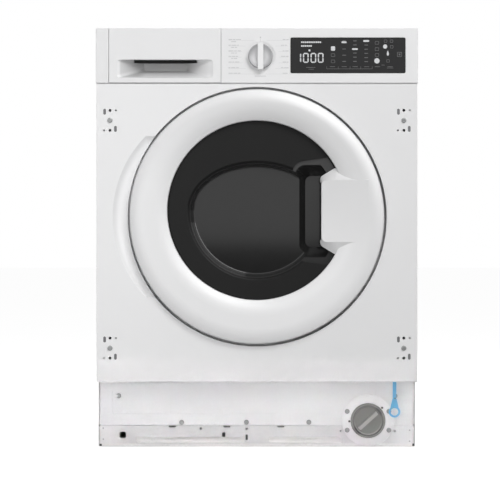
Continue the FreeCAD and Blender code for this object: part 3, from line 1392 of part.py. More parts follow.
def programme_knob():
    """Dished disc with an upright grip bar across it."""
    y0 = Y_FASCIA - SEAT
    y1 = Y_FASCIA - KNOB_PROUD
    rim = y1 + KNOB_RIM_DROP
    disc = turned_y([(0, rim), (KNOB_R, rim, KNOB_EDGE), (KNOB_R, y0, 0.5), (0, y0)], KNOB_X, KNOB_Z)
    r = KNOB_R - KNOB_RIM
    bowl = turned_y([(0, rim - 1), (r, rim - 1), (r, rim), (r * KNOB_FLAT, rim + KNOB_DISH, r / 2),
                     (0, rim + KNOB_DISH)],
                    KNOB_X, KNOB_Z)
    half = KNOB_BAR / 2
    tall = KNOB_BAR_LEN / 2
    bar = box(KNOB_X - half, KNOB_X + half, y1, y0, KNOB_Z - tall, KNOB_Z + tall)
    front = [e for e in bar.Edges if abs(e.BoundBox.YMax - y1) < 1e-6]
    bar = bar.makeFillet(KNOB_BAR_EDGE, front)
    stem = rod_y(KNOB_STEM_R, y0 - 1, Y_FASCIA + MOULD + FLANGE, KNOB_X, KNOB_Z)
    return joined([disc.cut(bowl), bar, stem])


def recess(grow, depth, y_front):
    x0 = DRAWER_X - RECESS_W / 2
    x1 = DRAWER_X + RECESS_W / 2
    z0 = Z_FASCIA + RECESS_UP
    z1 = z0 + RECESS_H
    c = RECESS_CORNER
    front = rectangle(x0 - grow, x1 + grow, z0 - grow, z1 + grow, c)
    back = rectangle(x0 - grow + RECESS_SIDE, x1 + grow - RECESS_SIDE + 1, z0 - grow + RECESS_SILL,
                     z1 + grow, c)
    return between(wire_xz(front, y_front), wire_xz(back, Y_FASCIA + depth))


def undercut(grow):
    """Finger hollow above the recess, behind the front's lip."""
    z0 = Z_FASCIA + RECESS_UP + RECESS_H
    x0 = DRAWER_X - UNDERCUT_W / 2 - grow
    x1 = DRAWER_X + UNDERCUT_W / 2 + grow
    return box(x0, x1, Y_FASCIA + UNDERCUT_LIP - grow, Y_FASCIA + RECESS_DEPTH - UNDERCUT_BACK + grow,
               z0 - UNDERCUT_DROP, z0 + UNDERCUT_H + grow)


def drawer_front():
    x0 = DRAWER_X - DRAWER_W / 2
    x1 = DRAWER_X + DRAWER_W / 2
    z0 = Z_FASCIA + DRAWER_LIFT
    z1 = Z_TOP - DRAWER_TOP - DRAWER_GAP
    y1 = Y_FASCIA + DRAWER_FRONT_D
    face = box(x0, x1, Y_FASCIA, Y_FASCIA + MOULD, z0, Z_TOP)
    front = [e for e in face.Edges if abs(e.BoundBox.YMax - Y_FASCIA) < 1e-6]
    face = face.makeFillet(DRAWER_EDGE, front)
    block = face.fuse(box(x0, x1, Y_FASCIA + MOULD / 2, y1, z0 + DRAWER_EDGE, z1)).removeSplitter()
    hollow = box(x0 + MOULD, x1 - MOULD, Y_FASCIA + MOULD, y1 - MOULD, z0 + MOULD, z1 - MOULD)
    keep = [recess(MOULD, RECESS_DEPTH + MOULD, Y_FASCIA), undercut(MOULD)]
    block = block.cut(hollow.cut(keep))
    return block.cut([recess(0.0, RECESS_DEPTH, Y_FASCIA), undercut(0.0)]).removeSplitter()


def tray_box():
    x0 = DRAWER_X - DRAWER_W / 2 + TRAY_SIDE
    x1 = DRAWER_X + DRAWER_W / 2 - TRAY_SIDE
    y0 = Y_FASCIA + DRAWER_FRONT_D
    z0 = Z_FASCIA + TRAY_UP
    return x0, x1, y0, y0 + TRAY_LEN, z0, z0 + TRAY_H


def drawer_tray():
    """Soap tray with a main wash well, a prewash well and a softener well."""
    x0, x1, y0, y1, z0, z1 = tray_box()
    w = TRAY_WALL
    body = prism_x([(y0, z0), (y1, z0, TRAY_ROUND), (y1, z1), (y0, z1)], x0, x1)
    split_a = x0 + (x1 - x0) * WELL_SHARE
    split_b = x1 - (x1 - x0) * WELL_SHARE
    wells = []
    for a, b, near in ((x0, split_a, y0), (split_a, split_b, y0), (split_b, x1, y0 + SOFTENER_IN)):
        left = a + (w if a == x0 else w / 2)
        right = b - (w if b == x1 else w / 2)
        corners = [(left, near + w, WELL_ROUND), (right, near + w, WELL_ROUND), (right, y1 - w, WELL_ROUND),
                   (left, y1 - w, WELL_ROUND)]
        wells.append(prism_z(corners, z0 + w, z1 + 1))
    return body.cut(wells)


def siphon_cap():
    x0, x1, y0, y1, z0, z1 = tray_box()
    right = x1 - TRAY_WALL - SEAT
    left = x1 - (x1 - x0) * WELL_SHARE + TRAY_WALL / 2 + SEAT
    mid = (left + right) / 2
    back = y1 - TRAY_WALL - SIPHON_BACK
    top = z1 - SIPHON_DROP
    lid = box(left, right, back - SIPHON_LEN, back, top - SIPHON_T, top)
    stem = tube_z(SIPHON_R, SIPHON_R - SIPHON_T, z0 + TRAY_WALL + SEAT, top - SIPHON_T / 3, mid,
                  y1 - SIPHON_STEM)
    return lid.fuse(stem).removeSplitter()


def dispenser_housing():
    """Fixed box that the soap drawer runs in, with its spigot down to the tub."""
    x0, x1, y0, y1, z0, z1 = tray_box()
    g = HOUSING_GAP
    w = HOUSING_WALL
    front = y0 + HOUSING_FRONT
    back = y1 + HOUSING_OVER
    top = min(z1 + g, Z_TOP - 4 * SHEET - SEAT - w)
    body = box(x0 - g - w, x1 + g + w, front, back, z0 - g - w, top + w)
    body = body.cut(box(x0 - g, x1 + g, front - 1, back - w, z0 - SEAT, top))
    runners = [box(x, x + RUNNER_W, front, back - w, z0 - g - w, z0 - SEAT) for x in (x0, x1 - RUNNER_W)]
    x, y = hose_spot()
    body = joined([body, rod_z(SUMP_R - HOSE_T, z0 - HOUSING_SPOUT, z0 - g, x, y)] + runners)
    face_cheeks = box(x0 - g - w, x1 + g + w, front, front + w, top + w, Z_TOP - 4 * SHEET - SEAT)
    return body.cut(rod_z(SUMP_R - 2 * HOSE_T, z0 - (HOUSING_SPOUT + 1), z0 + 1, x,
                          y)).fuse(face_cheeks).removeSplitter()


def hose_spot():
    return DRAWER_X, Y_FASCIA + DRAWER_FRONT_D + TRAY_LEN - HOSE_FROM_BACK


def tub_top(x):
    return DOOR_Z + math.sqrt(max(TUB_OUT_R ** 2 - x ** 2, 1.0))


def ribbed_z(r_out, r_in, z0, z1, ribs, x, y):
    """An upright corrugated hose: the outside swells once per rib."""
    step = (z1 - z0) / ribs
    corners = [(r_in, z0), (r_out, z0)]
    for i in range(ribs):
        corners.append((r_out, z0 + step * (i + 0.25)))
        corners.append((r_out + HOSE_SWELL, z0 + step * (i + 0.5)))
        corners.append((r_out, z0 + step * (i + 0.75)))
    corners += [(r_out, z1), (r_in, z1)]
    return turned_z(corners, x, y)


def dispenser_hose():
    x, y = hose_spot()
    z1 = Z_FASCIA + TRAY_UP - HOUSING_GAP - HOUSING_WALL - SEAT
    z0 = tub_top(abs(x) - SUMP_R) + SEAT
    return ribbed_z(SUMP_R, SUMP_R - HOSE_T + SEAT, z0, z1, HOSE_RIBS, x, y)


# Tub
def tub_front():
    y0 = Y_TUB
    w = TUB_WALL
    corners = [(MOUTH_R - w, y0 - MOUTH_LEN), (MOUTH_R, y0 - MOUTH_LEN), (MOUTH_R, y0),
               (TUB_OUT_R, y0, TUB_ROUND),
               (TUB_OUT_R, Y_JOINT - TUB_RIM_W), (TUB_OUT_R + TUB_RIM, Y_JOINT - TUB_RIM_W),
               (TUB_OUT_R + TUB_RIM, Y_JOINT),
               (TUB_IN_R, Y_JOINT), (TUB_IN_R, y0 + w, TUB_IN_ROUND), (MOUTH_R - w, y0 + w)]
    shell = turned_y(corners, 0, DOOR_Z)
    low = DOOR_Z - math.sqrt(TUB_OUT_R ** 2 - (SUMP_X + SUMP_R) ** 2)
    spout = rod_z(SUMP_R, sump_top(), low + SPOUT_UP, SUMP_X,
                  Y_SUMP).cut(rod_y(TUB_IN_R, Y_TUB, Y_JOINT, 0, DOOR_Z))
    body = joined([shell, spout])
    return body.cut([rod_z(SUMP_R - 2 * HOSE_T, sump_top() - 1, low + SPOUT_CUT, SUMP_X, Y_SUMP)])


def sump_top():
    return DOOR_Z - TUB_OUT_R - TUB_TRAVEL


def tub_rear():
    y1 = Y_TUB_REAR
    w = TUB_WALL
    hub_end = y1 + HUB_LEN
    corners = [(BEARING_R, y1 - w), (TUB_IN_R, y1 - w, TUB_IN_ROUND), (TUB_IN_R, Y_JOINT),
               (TUB_OUT_R + TUB_RIM, Y_JOINT),
               (TUB_OUT_R + TUB_RIM, Y_JOINT + TUB_RIM_W), (TUB_OUT_R, Y_JOINT + TUB_RIM_W),
               (TUB_OUT_R, y1, TUB_ROUND), (HUB_R, y1), (HUB_R, hub_end),
               (BEARING_R, hub_end)]
    shell = turned_y(corners, 0, DOOR_Z)
    step = tube_y(HUB_R - 1, SHAFT_R + BEARING_STEP, y1 + BEARING_W, hub_end - BEARING_W, 0, DOOR_Z)
    parts = [shell, step]
    for i in range(TUB_RIBS):
        rib = box(HUB_R - 2, TUB_OUT_R - TUB_RIM, y1 - 1, y1 + TUB_RIB_H, DOOR_Z - 2, DOOR_Z + 2)
        rib.rotate(V(0, 0, DOOR_Z), V(0, 1, 0), 360 / TUB_RIBS * (i + 0.5))
        parts.append(rib)
    ear_z = DOOR_Z + EAR_UP
    for side in (-1, 1):
        x0 = TUB_IN_R * EAR_ROOT
        x1 = SPRING_X + SPRING_R + 2 * SPRING_WIRE_R
        ear = box(x0, x1, SPRING_Y - FLANGE, SPRING_Y + FLANGE, ear_z - EAR_T, ear_z)
        brace = prism_y([(x0, ear_z - EAR_BRACE), (x1, ear_z - EAR_T), (x0, ear_z - EAR_T)],
                        SPRING_Y - EAR_T / 2, SPRING_Y + EAR_T / 2)
        lug_top = DOOR_Z - TUB_OUT_R * DAMPER_REACH
        lug = box(DAMPER_X - BOSS_R, DAMPER_X + BOSS_R, -FLANGE, FLANGE, damper_top(), lug_top)
        for piece in (ear, brace, lug):
            parts.append(piece if side > 0 else mirrored(piece))
    lug_x = MOTOR_X
    for y in (Y_MOTOR + MOTOR_LUG_FRONT, Y_TUB_REAR - MOTOR_LUG_REAR):
        parts.append(box(lug_x - MOTOR_LUG_HALF, lug_x + MOTOR_LUG_HALF, y, y + MOTOR_LUG_T,
                         MOTOR_Z + MOTOR_R - TUB_RIM, DOOR_Z - TUB_OUT_R * MOTOR_LUG_TOP))
    body = joined(parts)
    bore = rod_y(TUB_IN_R, Y_JOINT - TUB_CUT, y1 - w, 0, DOOR_Z)
    cuts = [bore, rod_y(MOTOR_R + SEAT, Y_MOTOR - CUT_PAST, y1 + CUT_PAST, MOTOR_X, MOTOR_Z)]
    cuts.append(tube_y(WIDTH, TUB_IN_R - 1, Y_TUB, Y_JOINT, 0, DOOR_Z))
    for side in (-1, 1):
        cuts.append(rod_y(HEATER_R + SEAT, y1 - 2 * TUB_WALL, y1 + 2 * TUB_RIB_H, side * HEATER_X,
                          heater_z()))
    return body.cut(cuts).removeSplitter()


def heater_z():
    radius = (DRUM_R + TUB_IN_R) / 2
    return DOOR_Z - math.sqrt(radius ** 2 - HEATER_X ** 2)


def wash_heater():
    z = heater_z()
    y1 = Y_TUB_REAR
    y0 = Y_TUB + TUB_JOINT / 2
    plug = y1 + TUB_RIB_H
    legs = [rod_y(HEATER_R, y0, plug + HEATER_FLANGE_T + HEATER_STUB, side * HEATER_X, z) for side in (-1, 1)]
    bend = Part.makeTorus(HEATER_X, HEATER_R, V(0, y0, z), V(0, 0, 1))
    bend = bend.common(box(-2 * HEATER_X, 2 * HEATER_X, y0 - 2 * HEATER_X, y0, z - HEATER_X, z + HEATER_X))
    wide = HEATER_X + HEATER_LAP
    flange = box(-wide, wide, plug + SEAT, plug + HEATER_FLANGE_T, z - HEATER_LAP, z + HEATER_LAP)
    return joined(legs + [bend, flange])


def counterweights():
    """Two concrete blocks on the tub's front, above and below the mouth."""
    ring = turned_y([(WEIGHT_IN_R, Y_TUB - WEIGHT_T, WEIGHT_ROUND),
                     (WEIGHT_OUT_R, Y_TUB - WEIGHT_T, WEIGHT_ROUND), (WEIGHT_OUT_R, Y_TUB),
                     (WEIGHT_IN_R, Y_TUB)], 0, DOOR_Z)
    blocks = []
    half = math.radians(WEIGHT_ANGLE / 2)
    reach = 2 * WEIGHT_OUT_R
    for side in (-1, 1):
        tip_x = reach * math.sin(half)
        tip_z = side * reach * math.cos(half)
        wedge = prism_y([(0, DOOR_Z), (-tip_x, DOOR_Z + tip_z), (-tip_x, DOOR_Z + side * 2 * reach),
                         (tip_x, DOOR_Z + side * 2 * reach), (tip_x, DOOR_Z + tip_z)], Y_TUB - 2 * WEIGHT_T,
                        Y_TUB + 1)
        blocks.append(ring.common(wedge))
    return group(blocks)


def drum_bearings():
    y0 = Y_TUB_REAR
    rings = []
    for y in (y0 - TUB_WALL + 1, y0 + HUB_LEN - BEARING_W):
        width = BEARING_W + TUB_WALL - 2 if y < y0 else BEARING_W - SEAT
        rings.append(tube_y(BEARING_R - RUN, SHAFT_R + RUN, y, y + width, 0, DOOR_Z))
    return group(rings)


# Drum
def drum_shell():
    """Steel drum with a rolled mouth and a sunk rear."""
    t = DRUM_SHEET
    r = DRUM_R
    m = DRUM_MOUTH_R
    y0 = Y_DRUM
    y1 = Y_DRUM_REAR
    sunk = y1 - DRUM_HUB_SINK
    step = DRUM_STEP_ROUND
    inside = [(0, sunk), (DRUM_HUB_R, sunk, step), (DRUM_STEP_R, y1 - t, step),
              (r - t, y1 - t, DRUM_BACK_ROUND - 1),
              (r - t, y0 + DRUM_CONE, DRUM_CONE_ROUND - 1), (m + DRUM_ROLL, y0 + t, DRUM_ROLL_ROUND - 1),
              (m, y0 + t)]
    lip = [(m, y0 + DRUM_LIP), (m - t, y0 + DRUM_LIP), (m - t, y0, 1.0)]
    outside = [(m + DRUM_ROLL, y0, DRUM_ROLL_ROUND), (r, y0 + DRUM_CONE, DRUM_CONE_ROUND),
               (r, y1, DRUM_BACK_ROUND),
               (DRUM_STEP_R, y1, step), (DRUM_HUB_R, sunk + t, step), (0, sunk + t)]
    return turned_y(inside + lip + outside, 0, DOOR_Z)


def drum_lifters():
    paddles = []
    r = DRUM_R - DRUM_SHEET - SEAT
    inner = rod_y(r, Y_DRUM + LIFTER_FRONT, Y_DRUM_REAR - LIFTER_BACK, 0, DOOR_Z)
    for i in range(LIFTERS):
        base = r + LIFTER_ROOT
        top = r - LIFTER_H
        half = LIFTER_W / 2
        wide = [(-half, DOOR_Z - base), (half, DOOR_Z - base),
                (half * LIFTER_TOP, DOOR_Z - top, LIFTER_ROUND),
                (-half * LIFTER_TOP, DOOR_Z - top, LIFTER_ROUND)]
        paddle = prism_y(wide, Y_DRUM + (LIFTER_FRONT + LIFTER_TRIM),
                         Y_DRUM_REAR - (LIFTER_BACK + LIFTER_TRIM)).common(inner)
        paddle.rotate(V(0, 0, DOOR_Z), V(0, 1, 0), 360.0 / LIFTERS * i)
        paddles.append(paddle)
    return group(paddles)


def drum_spider():
    """Cast three-armed spider with the drum shaft."""
    y0 = Y_DRUM_REAR + SEAT
    y1 = Y_TUB_REAR - TUB_WALL - SPIDER_GAP
    parts = [rod_y(SPIDER_HUB_R, y0, y1, 0, DOOR_Z)]
    for i in range(LIFTERS):
        arm = prism_y([(-SPIDER_ROOT, DOOR_Z), (SPIDER_ROOT, DOOR_Z),
                       (SPIDER_TIP, DOOR_Z + DRUM_R - SPIDER_SHORT),
                       (-SPIDER_TIP, DOOR_Z + DRUM_R - SPIDER_SHORT)], y0, y0 + SPIDER_ARM_T)
        arm.rotate(V(0, 0, DOOR_Z), V(0, 1, 0), 360.0 / LIFTERS * i)
        parts.append(arm)
    parts.append(rod_y(SHAFT_R, y0, Y_PULLEY + PULLEY_W + SHAFT_END, 0, DOOR_Z))
    return joined(parts)


def drum_pulley():
    y0 = Y_PULLEY
    y1 = Y_PULLEY + PULLEY_W
    rim = tube_y(PULLEY_R, PULLEY_R - PULLEY_RIM, y0, y1, 0, DOOR_Z)
    hub = rod_y(2 * SHAFT_R, y0, y1, 0, DOOR_Z)
    spokes = []
    for i in range(PULLEY_SPOKES):
        spoke = box(0, PULLEY_R - SPOKE_INSET, y0 + SPOKE_INSET, y1 - SPOKE_INSET, DOOR_Z - SPOKE_HALF,
                    DOOR_Z + SPOKE_HALF)
        spoke.rotate(V(0, 0, DOOR_Z), V(0, 1, 0), 360 / PULLEY_SPOKES * i)
        spokes.append(spoke)
    return joined([rim, hub] + spokes).cut(rod_y(SHAFT_R + RUN, y0 - 1, y1 + 1, 0, DOOR_Z))


def motor_body():
    y0 = Y_MOTOR
    y1 = Y_TUB_REAR
    r = MOTOR_R
    case = turned_y([(0, y0), (r - MOTOR_END, y0, MOTOR_ROUND), (r, y0 + MOTOR_END, MOTOR_ROUND),
                     (r, y1 - MOTOR_END, MOTOR_ROUND), (r - MOTOR_END, y1, MOTOR_ROUND), (0, y1)], MOTOR_X,
                    MOTOR_Z)
    case = case.cut(rod_y(r - MOTOR_WALL, y0 + MOTOR_END, y1 - MOTOR_END, MOTOR_X, MOTOR_Z))
    return case.cut(rod_y(MOTOR_SHAFT_R + RUN, y0 - 1, y1 + 1, MOTOR_X, MOTOR_Z))


def motor_rotor():
    """Rotor, shaft and the small belt pulley in one piece."""
    core = rod_y(MOTOR_R - ROTOR_WALL, Y_MOTOR + ROTOR_END, Y_TUB_REAR - ROTOR_END, MOTOR_X, MOTOR_Z)
    shaft = rod_y(MOTOR_SHAFT_R, Y_MOTOR - ROTOR_TAIL, Y_PULLEY + PULLEY_W + 2, MOTOR_X, MOTOR_Z)
    pulley = rod_y(MOTOR_PULLEY_R, Y_PULLEY, Y_PULLEY + PULLEY_W, MOTOR_X, MOTOR_Z)
    return joined([core, shaft, pulley])


def belt_loop(grow, y):
    """Closed line round both pulleys, this far off their rims."""
    along = V(MOTOR_X, 0, MOTOR_Z - DOOR_Z)
    span = along.Length
    big = PULLEY_R + grow
    small = MOTOR_PULLEY_R + grow
    lead = math.atan2(along.z, along.x)
    open_angle = math.acos((PULLEY_R - MOTOR_PULLEY_R) / span)

    def on_big(angle):
        return V(big * math.cos(angle), y, DOOR_Z + big * math.sin(angle))

    def on_small(angle):
        return V(MOTOR_X + small * math.cos(angle), y, MOTOR_Z + small * math.sin(angle))
    a = lead + open_angle
    b = lead - open_angle
    edges = [Part.Arc(on_big(a), on_big(lead + math.pi), on_big(b)).toShape(),
             Part.makeLine(on_big(b), on_small(b)),
             Part.Arc(on_small(b), on_small(lead), on_small(a)).toShape(),
             Part.makeLine(on_small(a), on_big(a))]
    return Part.Wire(edges)


def drive_belt():
    y0 = Y_PULLEY + (PULLEY_W - BELT_W) / 2
    outer = Part.Face(belt_loop(SEAT + BELT_T, y0)).extrude(V(0, BELT_W, 0))
    return outer.cut(Part.Face(belt_loop(SEAT, y0)).extrude(V(0, BELT_W, 0)))


def suspension_springs():
    z0 = DOOR_Z + EAR_UP + SPRING_WIRE_R + SEAT
    z1 = Z_TOP - HANGER_DROP - SPRING_WIRE_R - SEAT
    turns = int((z1 - z0) / SPRING_PITCH)
    pitch = (z1 - z0) / turns
    helix = Part.makeHelix(pitch, z1 - z0, SPRING_R)
    section = Part.Wire([Part.makeCircle(SPRING_WIRE_R, V(SPRING_R, 0, 0), V(0, 1, 0))])
    coil = Part.Wire(helix.Edges).makePipeShell([section], True, True)
    coils = []
    for side in (-1, 1):
        copy = coil.copy()
        copy.translate(V(side * SPRING_X, SPRING_Y, z0))
        coils.append(copy)
    return group(coils)


def damper_top():
    return Z_BASE + 2 * BASE_T + DAMPER_H + 2 * TUB_TRAVEL + DAMPER_ROOM


def damper_cylinders():
    z0 = Z_BASE + 2 * BASE_T
    tubes = []
    for side in (-1, 1):
        body = rod_z(DAMPER_R, z0, z0 + DAMPER_H, side * DAMPER_X, 0)
        tubes.append(body.cut(rod_z(DAMPER_ROD_R + RUN, z0 + DAMPER_FLOOR, z0 + DAMPER_H + 1,
                                    side * DAMPER_X, 0)))
    return group(tubes)


def damper_rods():
    z0 = Z_BASE + 2 * BASE_T + DAMPER_FLOOR + 2 * TUB_TRAVEL
    return group([rod_z(DAMPER_ROD_R, z0, damper_top(), side * DAMPER_X, 0) for side in (-1, 1)])


# Dryer
def duct_levels():
    z0 = DOOR_Z + DUCT_UP
    return z0, z0 + DUCT_H


def fan_spot():
    return DUCT_X, Y_TUB + DUCT_FRONT + DUCT_LEN + FAN_R + FAN_GAP


def dryer_duct():
    """Hot-air duct on the tub: fan scroll, straight run, and a leg at each end down to the tub."""
    z0, z1 = duct_levels()
    x, y = fan_spot()
    w = DUCT_WALL
    y0 = Y_TUB + DUCT_FRONT
    half = DUCT_W / 2
    scroll = rod_z(FAN_R + FAN_GAP + w, z0, z1, x, y)
    run = prism_z([(x - half, y0, DUCT_ROUND), (x + half, y0, DUCT_ROUND), (x + half, y - DUCT_JOIN),
                   (x - half, y - DUCT_JOIN)], z0, z1)
    legs = []
    for a, b in ((y0 + LEG_FROM, y0 + LEG_TO), (y - LEG_HALF, y + LEG_HALF)):
        legs.append(box(x - LEG_W, x + LEG_W, a, b, DOOR_Z + TUB_IN_R * LEG_DOWN, z0 + 1))
    cap = rod_z(FAN_MOTOR_R, z1, z1 + FAN_MOTOR_H, x, y)
    body = joined([scroll, run, cap] + legs)
    air = prism_z([(x - half + w, y0 + w, DUCT_ROUND_IN), (x + half - w, y0 + w, DUCT_ROUND_IN),
                   (x + half - w, y - (DUCT_JOIN + 1)), (x - half + w, y - (DUCT_JOIN + 1))], z0 + w, z1 - w)
    cuts = [rod_z(FAN_R + FAN_GAP, z0 + w, z1 - w, x, y), air,
            rod_z(FAN_SHAFT_R + RUN, z1 - w - 1, z1 + FAN_MOTOR_H - w, x, y)]
    cuts.append(rod_y(TUB_OUT_R + SEAT, Y_TUB, Y_REAR, 0, DOOR_Z))
    cuts.append(tube_y(TUB_OUT_R + TUB_RIM + SEAT, TUB_OUT_R, Y_JOINT - (TUB_RIM_W + 1),
                       Y_JOINT + (TUB_RIM_W + 1), 0, DOOR_Z))
    return body.cut(cuts).removeSplitter()


def dryer_fan():
    z0, z1 = duct_levels()
    x, y = fan_spot()
    a = z0 + DUCT_WALL + FAN_CLEAR
    b = z1 - DUCT_WALL - FAN_CLEAR
    parts = [rod_z(FAN_R, b - FAN_PLATE, b, x, y), rod_z(FAN_HUB_R, a, b, x, y),
             rod_z(FAN_SHAFT_R, b - 1, z1 + FAN_MOTOR_H - 2 * DUCT_WALL, x, y)]
    for i in range(FAN_BLADES):
        blade = box(BLADE_IN, FAN_R - 2, -BLADE_HALF, BLADE_HALF, a, b - 2)
        blade.rotate(V(FAN_R * BLADE_PIVOT, 0, a), V(0, 0, 1), BLADE_TURN)
        blade.rotate(V(0, 0, 0), V(0, 0, 1), 360 / FAN_BLADES * i)
        blade.translate(V(x, y, 0))
        parts.append(blade.common(rod_z(FAN_R, a, b, x, y)))
    return joined(parts)


# Water and drain
def inlet_valve():
    z = Z_TOP - VALVE_DROP
    y1 = Y_REAR + SPIGOT_PROUD
    back = Y_REAR - SHEET
    body = box(VALVE_X - VALVE_HALF, VALVE_X + VALVE_HALF, back - VALVE_LEN, back, z - VALVE_HALF_H,
               z + VALVE_HALF_H)
    neck = rod_y(THREAD_R - THREAD_NECK, back - HOSE_TUCK, y1, VALVE_X, z)
    thread = rod_y(THREAD_R, Y_REAR + SEAT, y1, VALVE_X, z)
    bore = rod_y(THREAD_R - THREAD_WALL, Y_REAR, y1 + HOSE_TUCK, VALVE_X, z)
    start = Y_FASCIA + DRAWER_FRONT_D + TRAY_LEN + HOUSING_BACK + SEAT
    hose = rod_y(HOSE_R, start, back - VALVE_LEN + HOSE_TUCK, VALVE_X, z)
    return joined([body, neck.fuse(thread).cut(bore), hose]).removeSplitter()


def pump_y():
    return Y_PLINTH + SHEET + SEAT + PUMP_SETBACK


def drain_pump():
    """Filter chamber behind the plinth, pump scroll and pump motor in one line."""
    y0 = Y_PLINTH + 3 * SHEET + SEAT
    y1 = pump_y()
    r_in = CAP_R - CAP_STEP + CAP_FIT
    r = r_in + CHAMBER_WALL
    chamber = rod_y(r, y0, y1, FILTER_X, FILTER_Z)
    scroll = rod_y(r + SCROLL_STEP, y1 - SCROLL_LEN, y1, FILTER_X, FILTER_Z)
    motor = rod_y(PUMP_MOTOR_R, y1, y1 + PUMP_MOTOR_LEN, FILTER_X, FILTER_Z)
    inlet = rod_x(SUMP_R - HOSE_T, FILTER_X - r - PUMP_INLET, FILTER_X - PUMP_WALL, Y_SUMP, FILTER_Z)
    outlet = rod_z(DRAIN_R - HOSE_T, FILTER_Z, FILTER_Z + r + PUMP_OUTLET, FILTER_X, y1 - SCROLL_LEN / 2)
    foot_block = box(FILTER_X - BOSS_R, FILTER_X + BOSS_R, y1 - SCROLL_LEN, y1, Z_BASE + BASE_T, FILTER_Z)
    body = joined([chamber, scroll, motor, inlet, outlet, foot_block])
    bore = rod_y(r_in, y0 - 1, y1 - PUMP_WALL, FILTER_X, FILTER_Z)
    shaft = rod_y(IMPELLER_SHAFT_R + RUN, y1 - (PUMP_WALL + 1), y1 + SHAFT_POCKET, FILTER_X, FILTER_Z)
    inlet_bore = rod_x(SUMP_R - 2 * HOSE_T, FILTER_X - r - (PUMP_INLET + 1), FILTER_X, Y_SUMP, FILTER_Z)
    outlet_bore = rod_z(DRAIN_R - 2 * HOSE_T, FILTER_Z, FILTER_Z + r + (PUMP_OUTLET + 1), FILTER_X,
                        y1 - SCROLL_LEN / 2)
    return body.cut([bore, shaft, inlet_bore, outlet_bore]).removeSplitter()


def pump_impeller():
    y1 = pump_y()
    parts = [rod_y(IMPELLER_SHAFT_R, y1 - IMPELLER_FRONT, y1 + IMPELLER_SHAFT, FILTER_X, FILTER_Z),
             rod_y(IMPELLER_HUB_R, y1 - IMPELLER_FRONT, y1 - IMPELLER_BACK, FILTER_X, FILTER_Z)]
    for i in range(IMPELLER_BLADES):
        blade = box(-IMPELLER_R, IMPELLER_R, y1 - (IMPELLER_FRONT - 1), y1 - (IMPELLER_BACK + 1),
                    FILTER_Z - 1, FILTER_Z + 1)
        blade.rotate(V(0, 0, FILTER_Z), V(0, 1, 0), 180 / IMPELLER_BLADES * i)
        blade.translate(V(FILTER_X, 0, 0))
        parts.append(blade)
    return joined(parts)


def filter_cap():
    """Screw cap with stepped rings and a diagonal grip."""
    y0 = Y_LEDGE - 1 - CAP_OUT + CAP_SINK
    r = CAP_R
    back = Y_PLINTH + CAP_BACK
    sunk = y0 + CAP_FACE_SINK
    corners = [(0, sunk), (CAP_FACE_R - 1, sunk, 1.0), (CAP_FACE_R, y0, CAP_LIP_ROUND),
               (r, y0, CAP_RIM_ROUND),
               (r, Y_PLINTH - SHEET), (r - CAP_STEP, Y_PLINTH - SHEET), (r - CAP_STEP, back), (0, back)]
    cap = turned_y(corners, FILTER_X, FILTER_Z)
    half = CAP_BAR_L / 2
    thick = CAP_BAR_W / 2
    bar = prism_y(rectangle(FILTER_X - half, FILTER_X + half, FILTER_Z - thick, FILTER_Z + thick,
                            thick - ROUND_FLAT),
                  sunk + SEAT - CAP_BAR_OUT + CAP_SINK, sunk + 2)
    bar.rotate(V(FILTER_X, 0, FILTER_Z), V(0, 1, 0), -CAP_BAR_TURN)
    return cap.fuse(bar).removeSplitter()


def filter_basket():
    """Lint basket that slides out with the cap: end rings joined by long slats."""
    y0 = Y_PLINTH + CAP_BACK + SEAT
    y1 = y0 + BASKET_LEN
    r = BASKET_R
    parts = [tube_y(r, r - BASKET_WALL, y0, y0 + BASKET_RING, FILTER_X, FILTER_Z),
             tube_y(r, r - BASKET_WALL, y1 - BASKET_RING, y1, FILTER_X, FILTER_Z)]
    for i in range(BASKET_SLATS):
        slat = box(-SLAT_HALF, SLAT_HALF, y0, y1, FILTER_Z + r - BASKET_WALL, FILTER_Z + r)
        slat.rotate(V(0, 0, FILTER_Z), V(0, 1, 0), 360 / BASKET_SLATS * i)
        slat.translate(V(FILTER_X, 0, 0))
        parts.append(slat.common(rod_y(r, y0, y1, FILTER_X, FILTER_Z)))
    return joined(parts)


def release_tag():
    """Door release: a flat strap down from the lock, ending in a pull ring."""
    y0 = Y_FRONT + TAG_SETBACK
    z = Z_BASE + TAG_RING_UP
    ring = rod_y(TAG_RING_R, y0, y0 + TAG_T, TAG_X, z)
    top = DOOR_Z - LOCK_H / 2 - SEAT
    half = TAG_W / 2
    flare = TAG_FLARE / 2
    low = z + TAG_FLARE_LOW
    high = z + TAG_FLARE_HIGH
    right = [(TAG_X + flare, low), (TAG_X + half, high), (TAG_X + half, top, TAG_ROUND)]
    left = [(2 * TAG_X - x[0],) + x[1:] for x in reversed(right)]
    strap = prism_y(right + left, y0, y0 + TAG_T)
    return ring.fuse(strap).cut(rod_y(TAG_HOLE_R, y0 - 1, y0 + TAG_T + 1, TAG_X, z)).removeSplitter()


def swept(points, radius, bend):
    """A round bar along straight runs with one bend radius at the corner."""
    a, b, c = points
    back = a.sub(b)
    ahead = c.sub(b)
    back.normalize()
    ahead.normalize()
    start = b.add(back * bend)
    end = b.add(ahead * bend)
    middle = b.add((back.add(ahead)) * (bend * (1 - math.sqrt(0.5))))
    path = Part.Wire([Part.makeLine(a, start), Part.Arc(start, middle, end).toShape(), Part.makeLine(end, c)])
    section = Part.Wire([Part.makeCircle(radius, a, b.sub(a))])
    return path.makePipeShell([section], True, False)


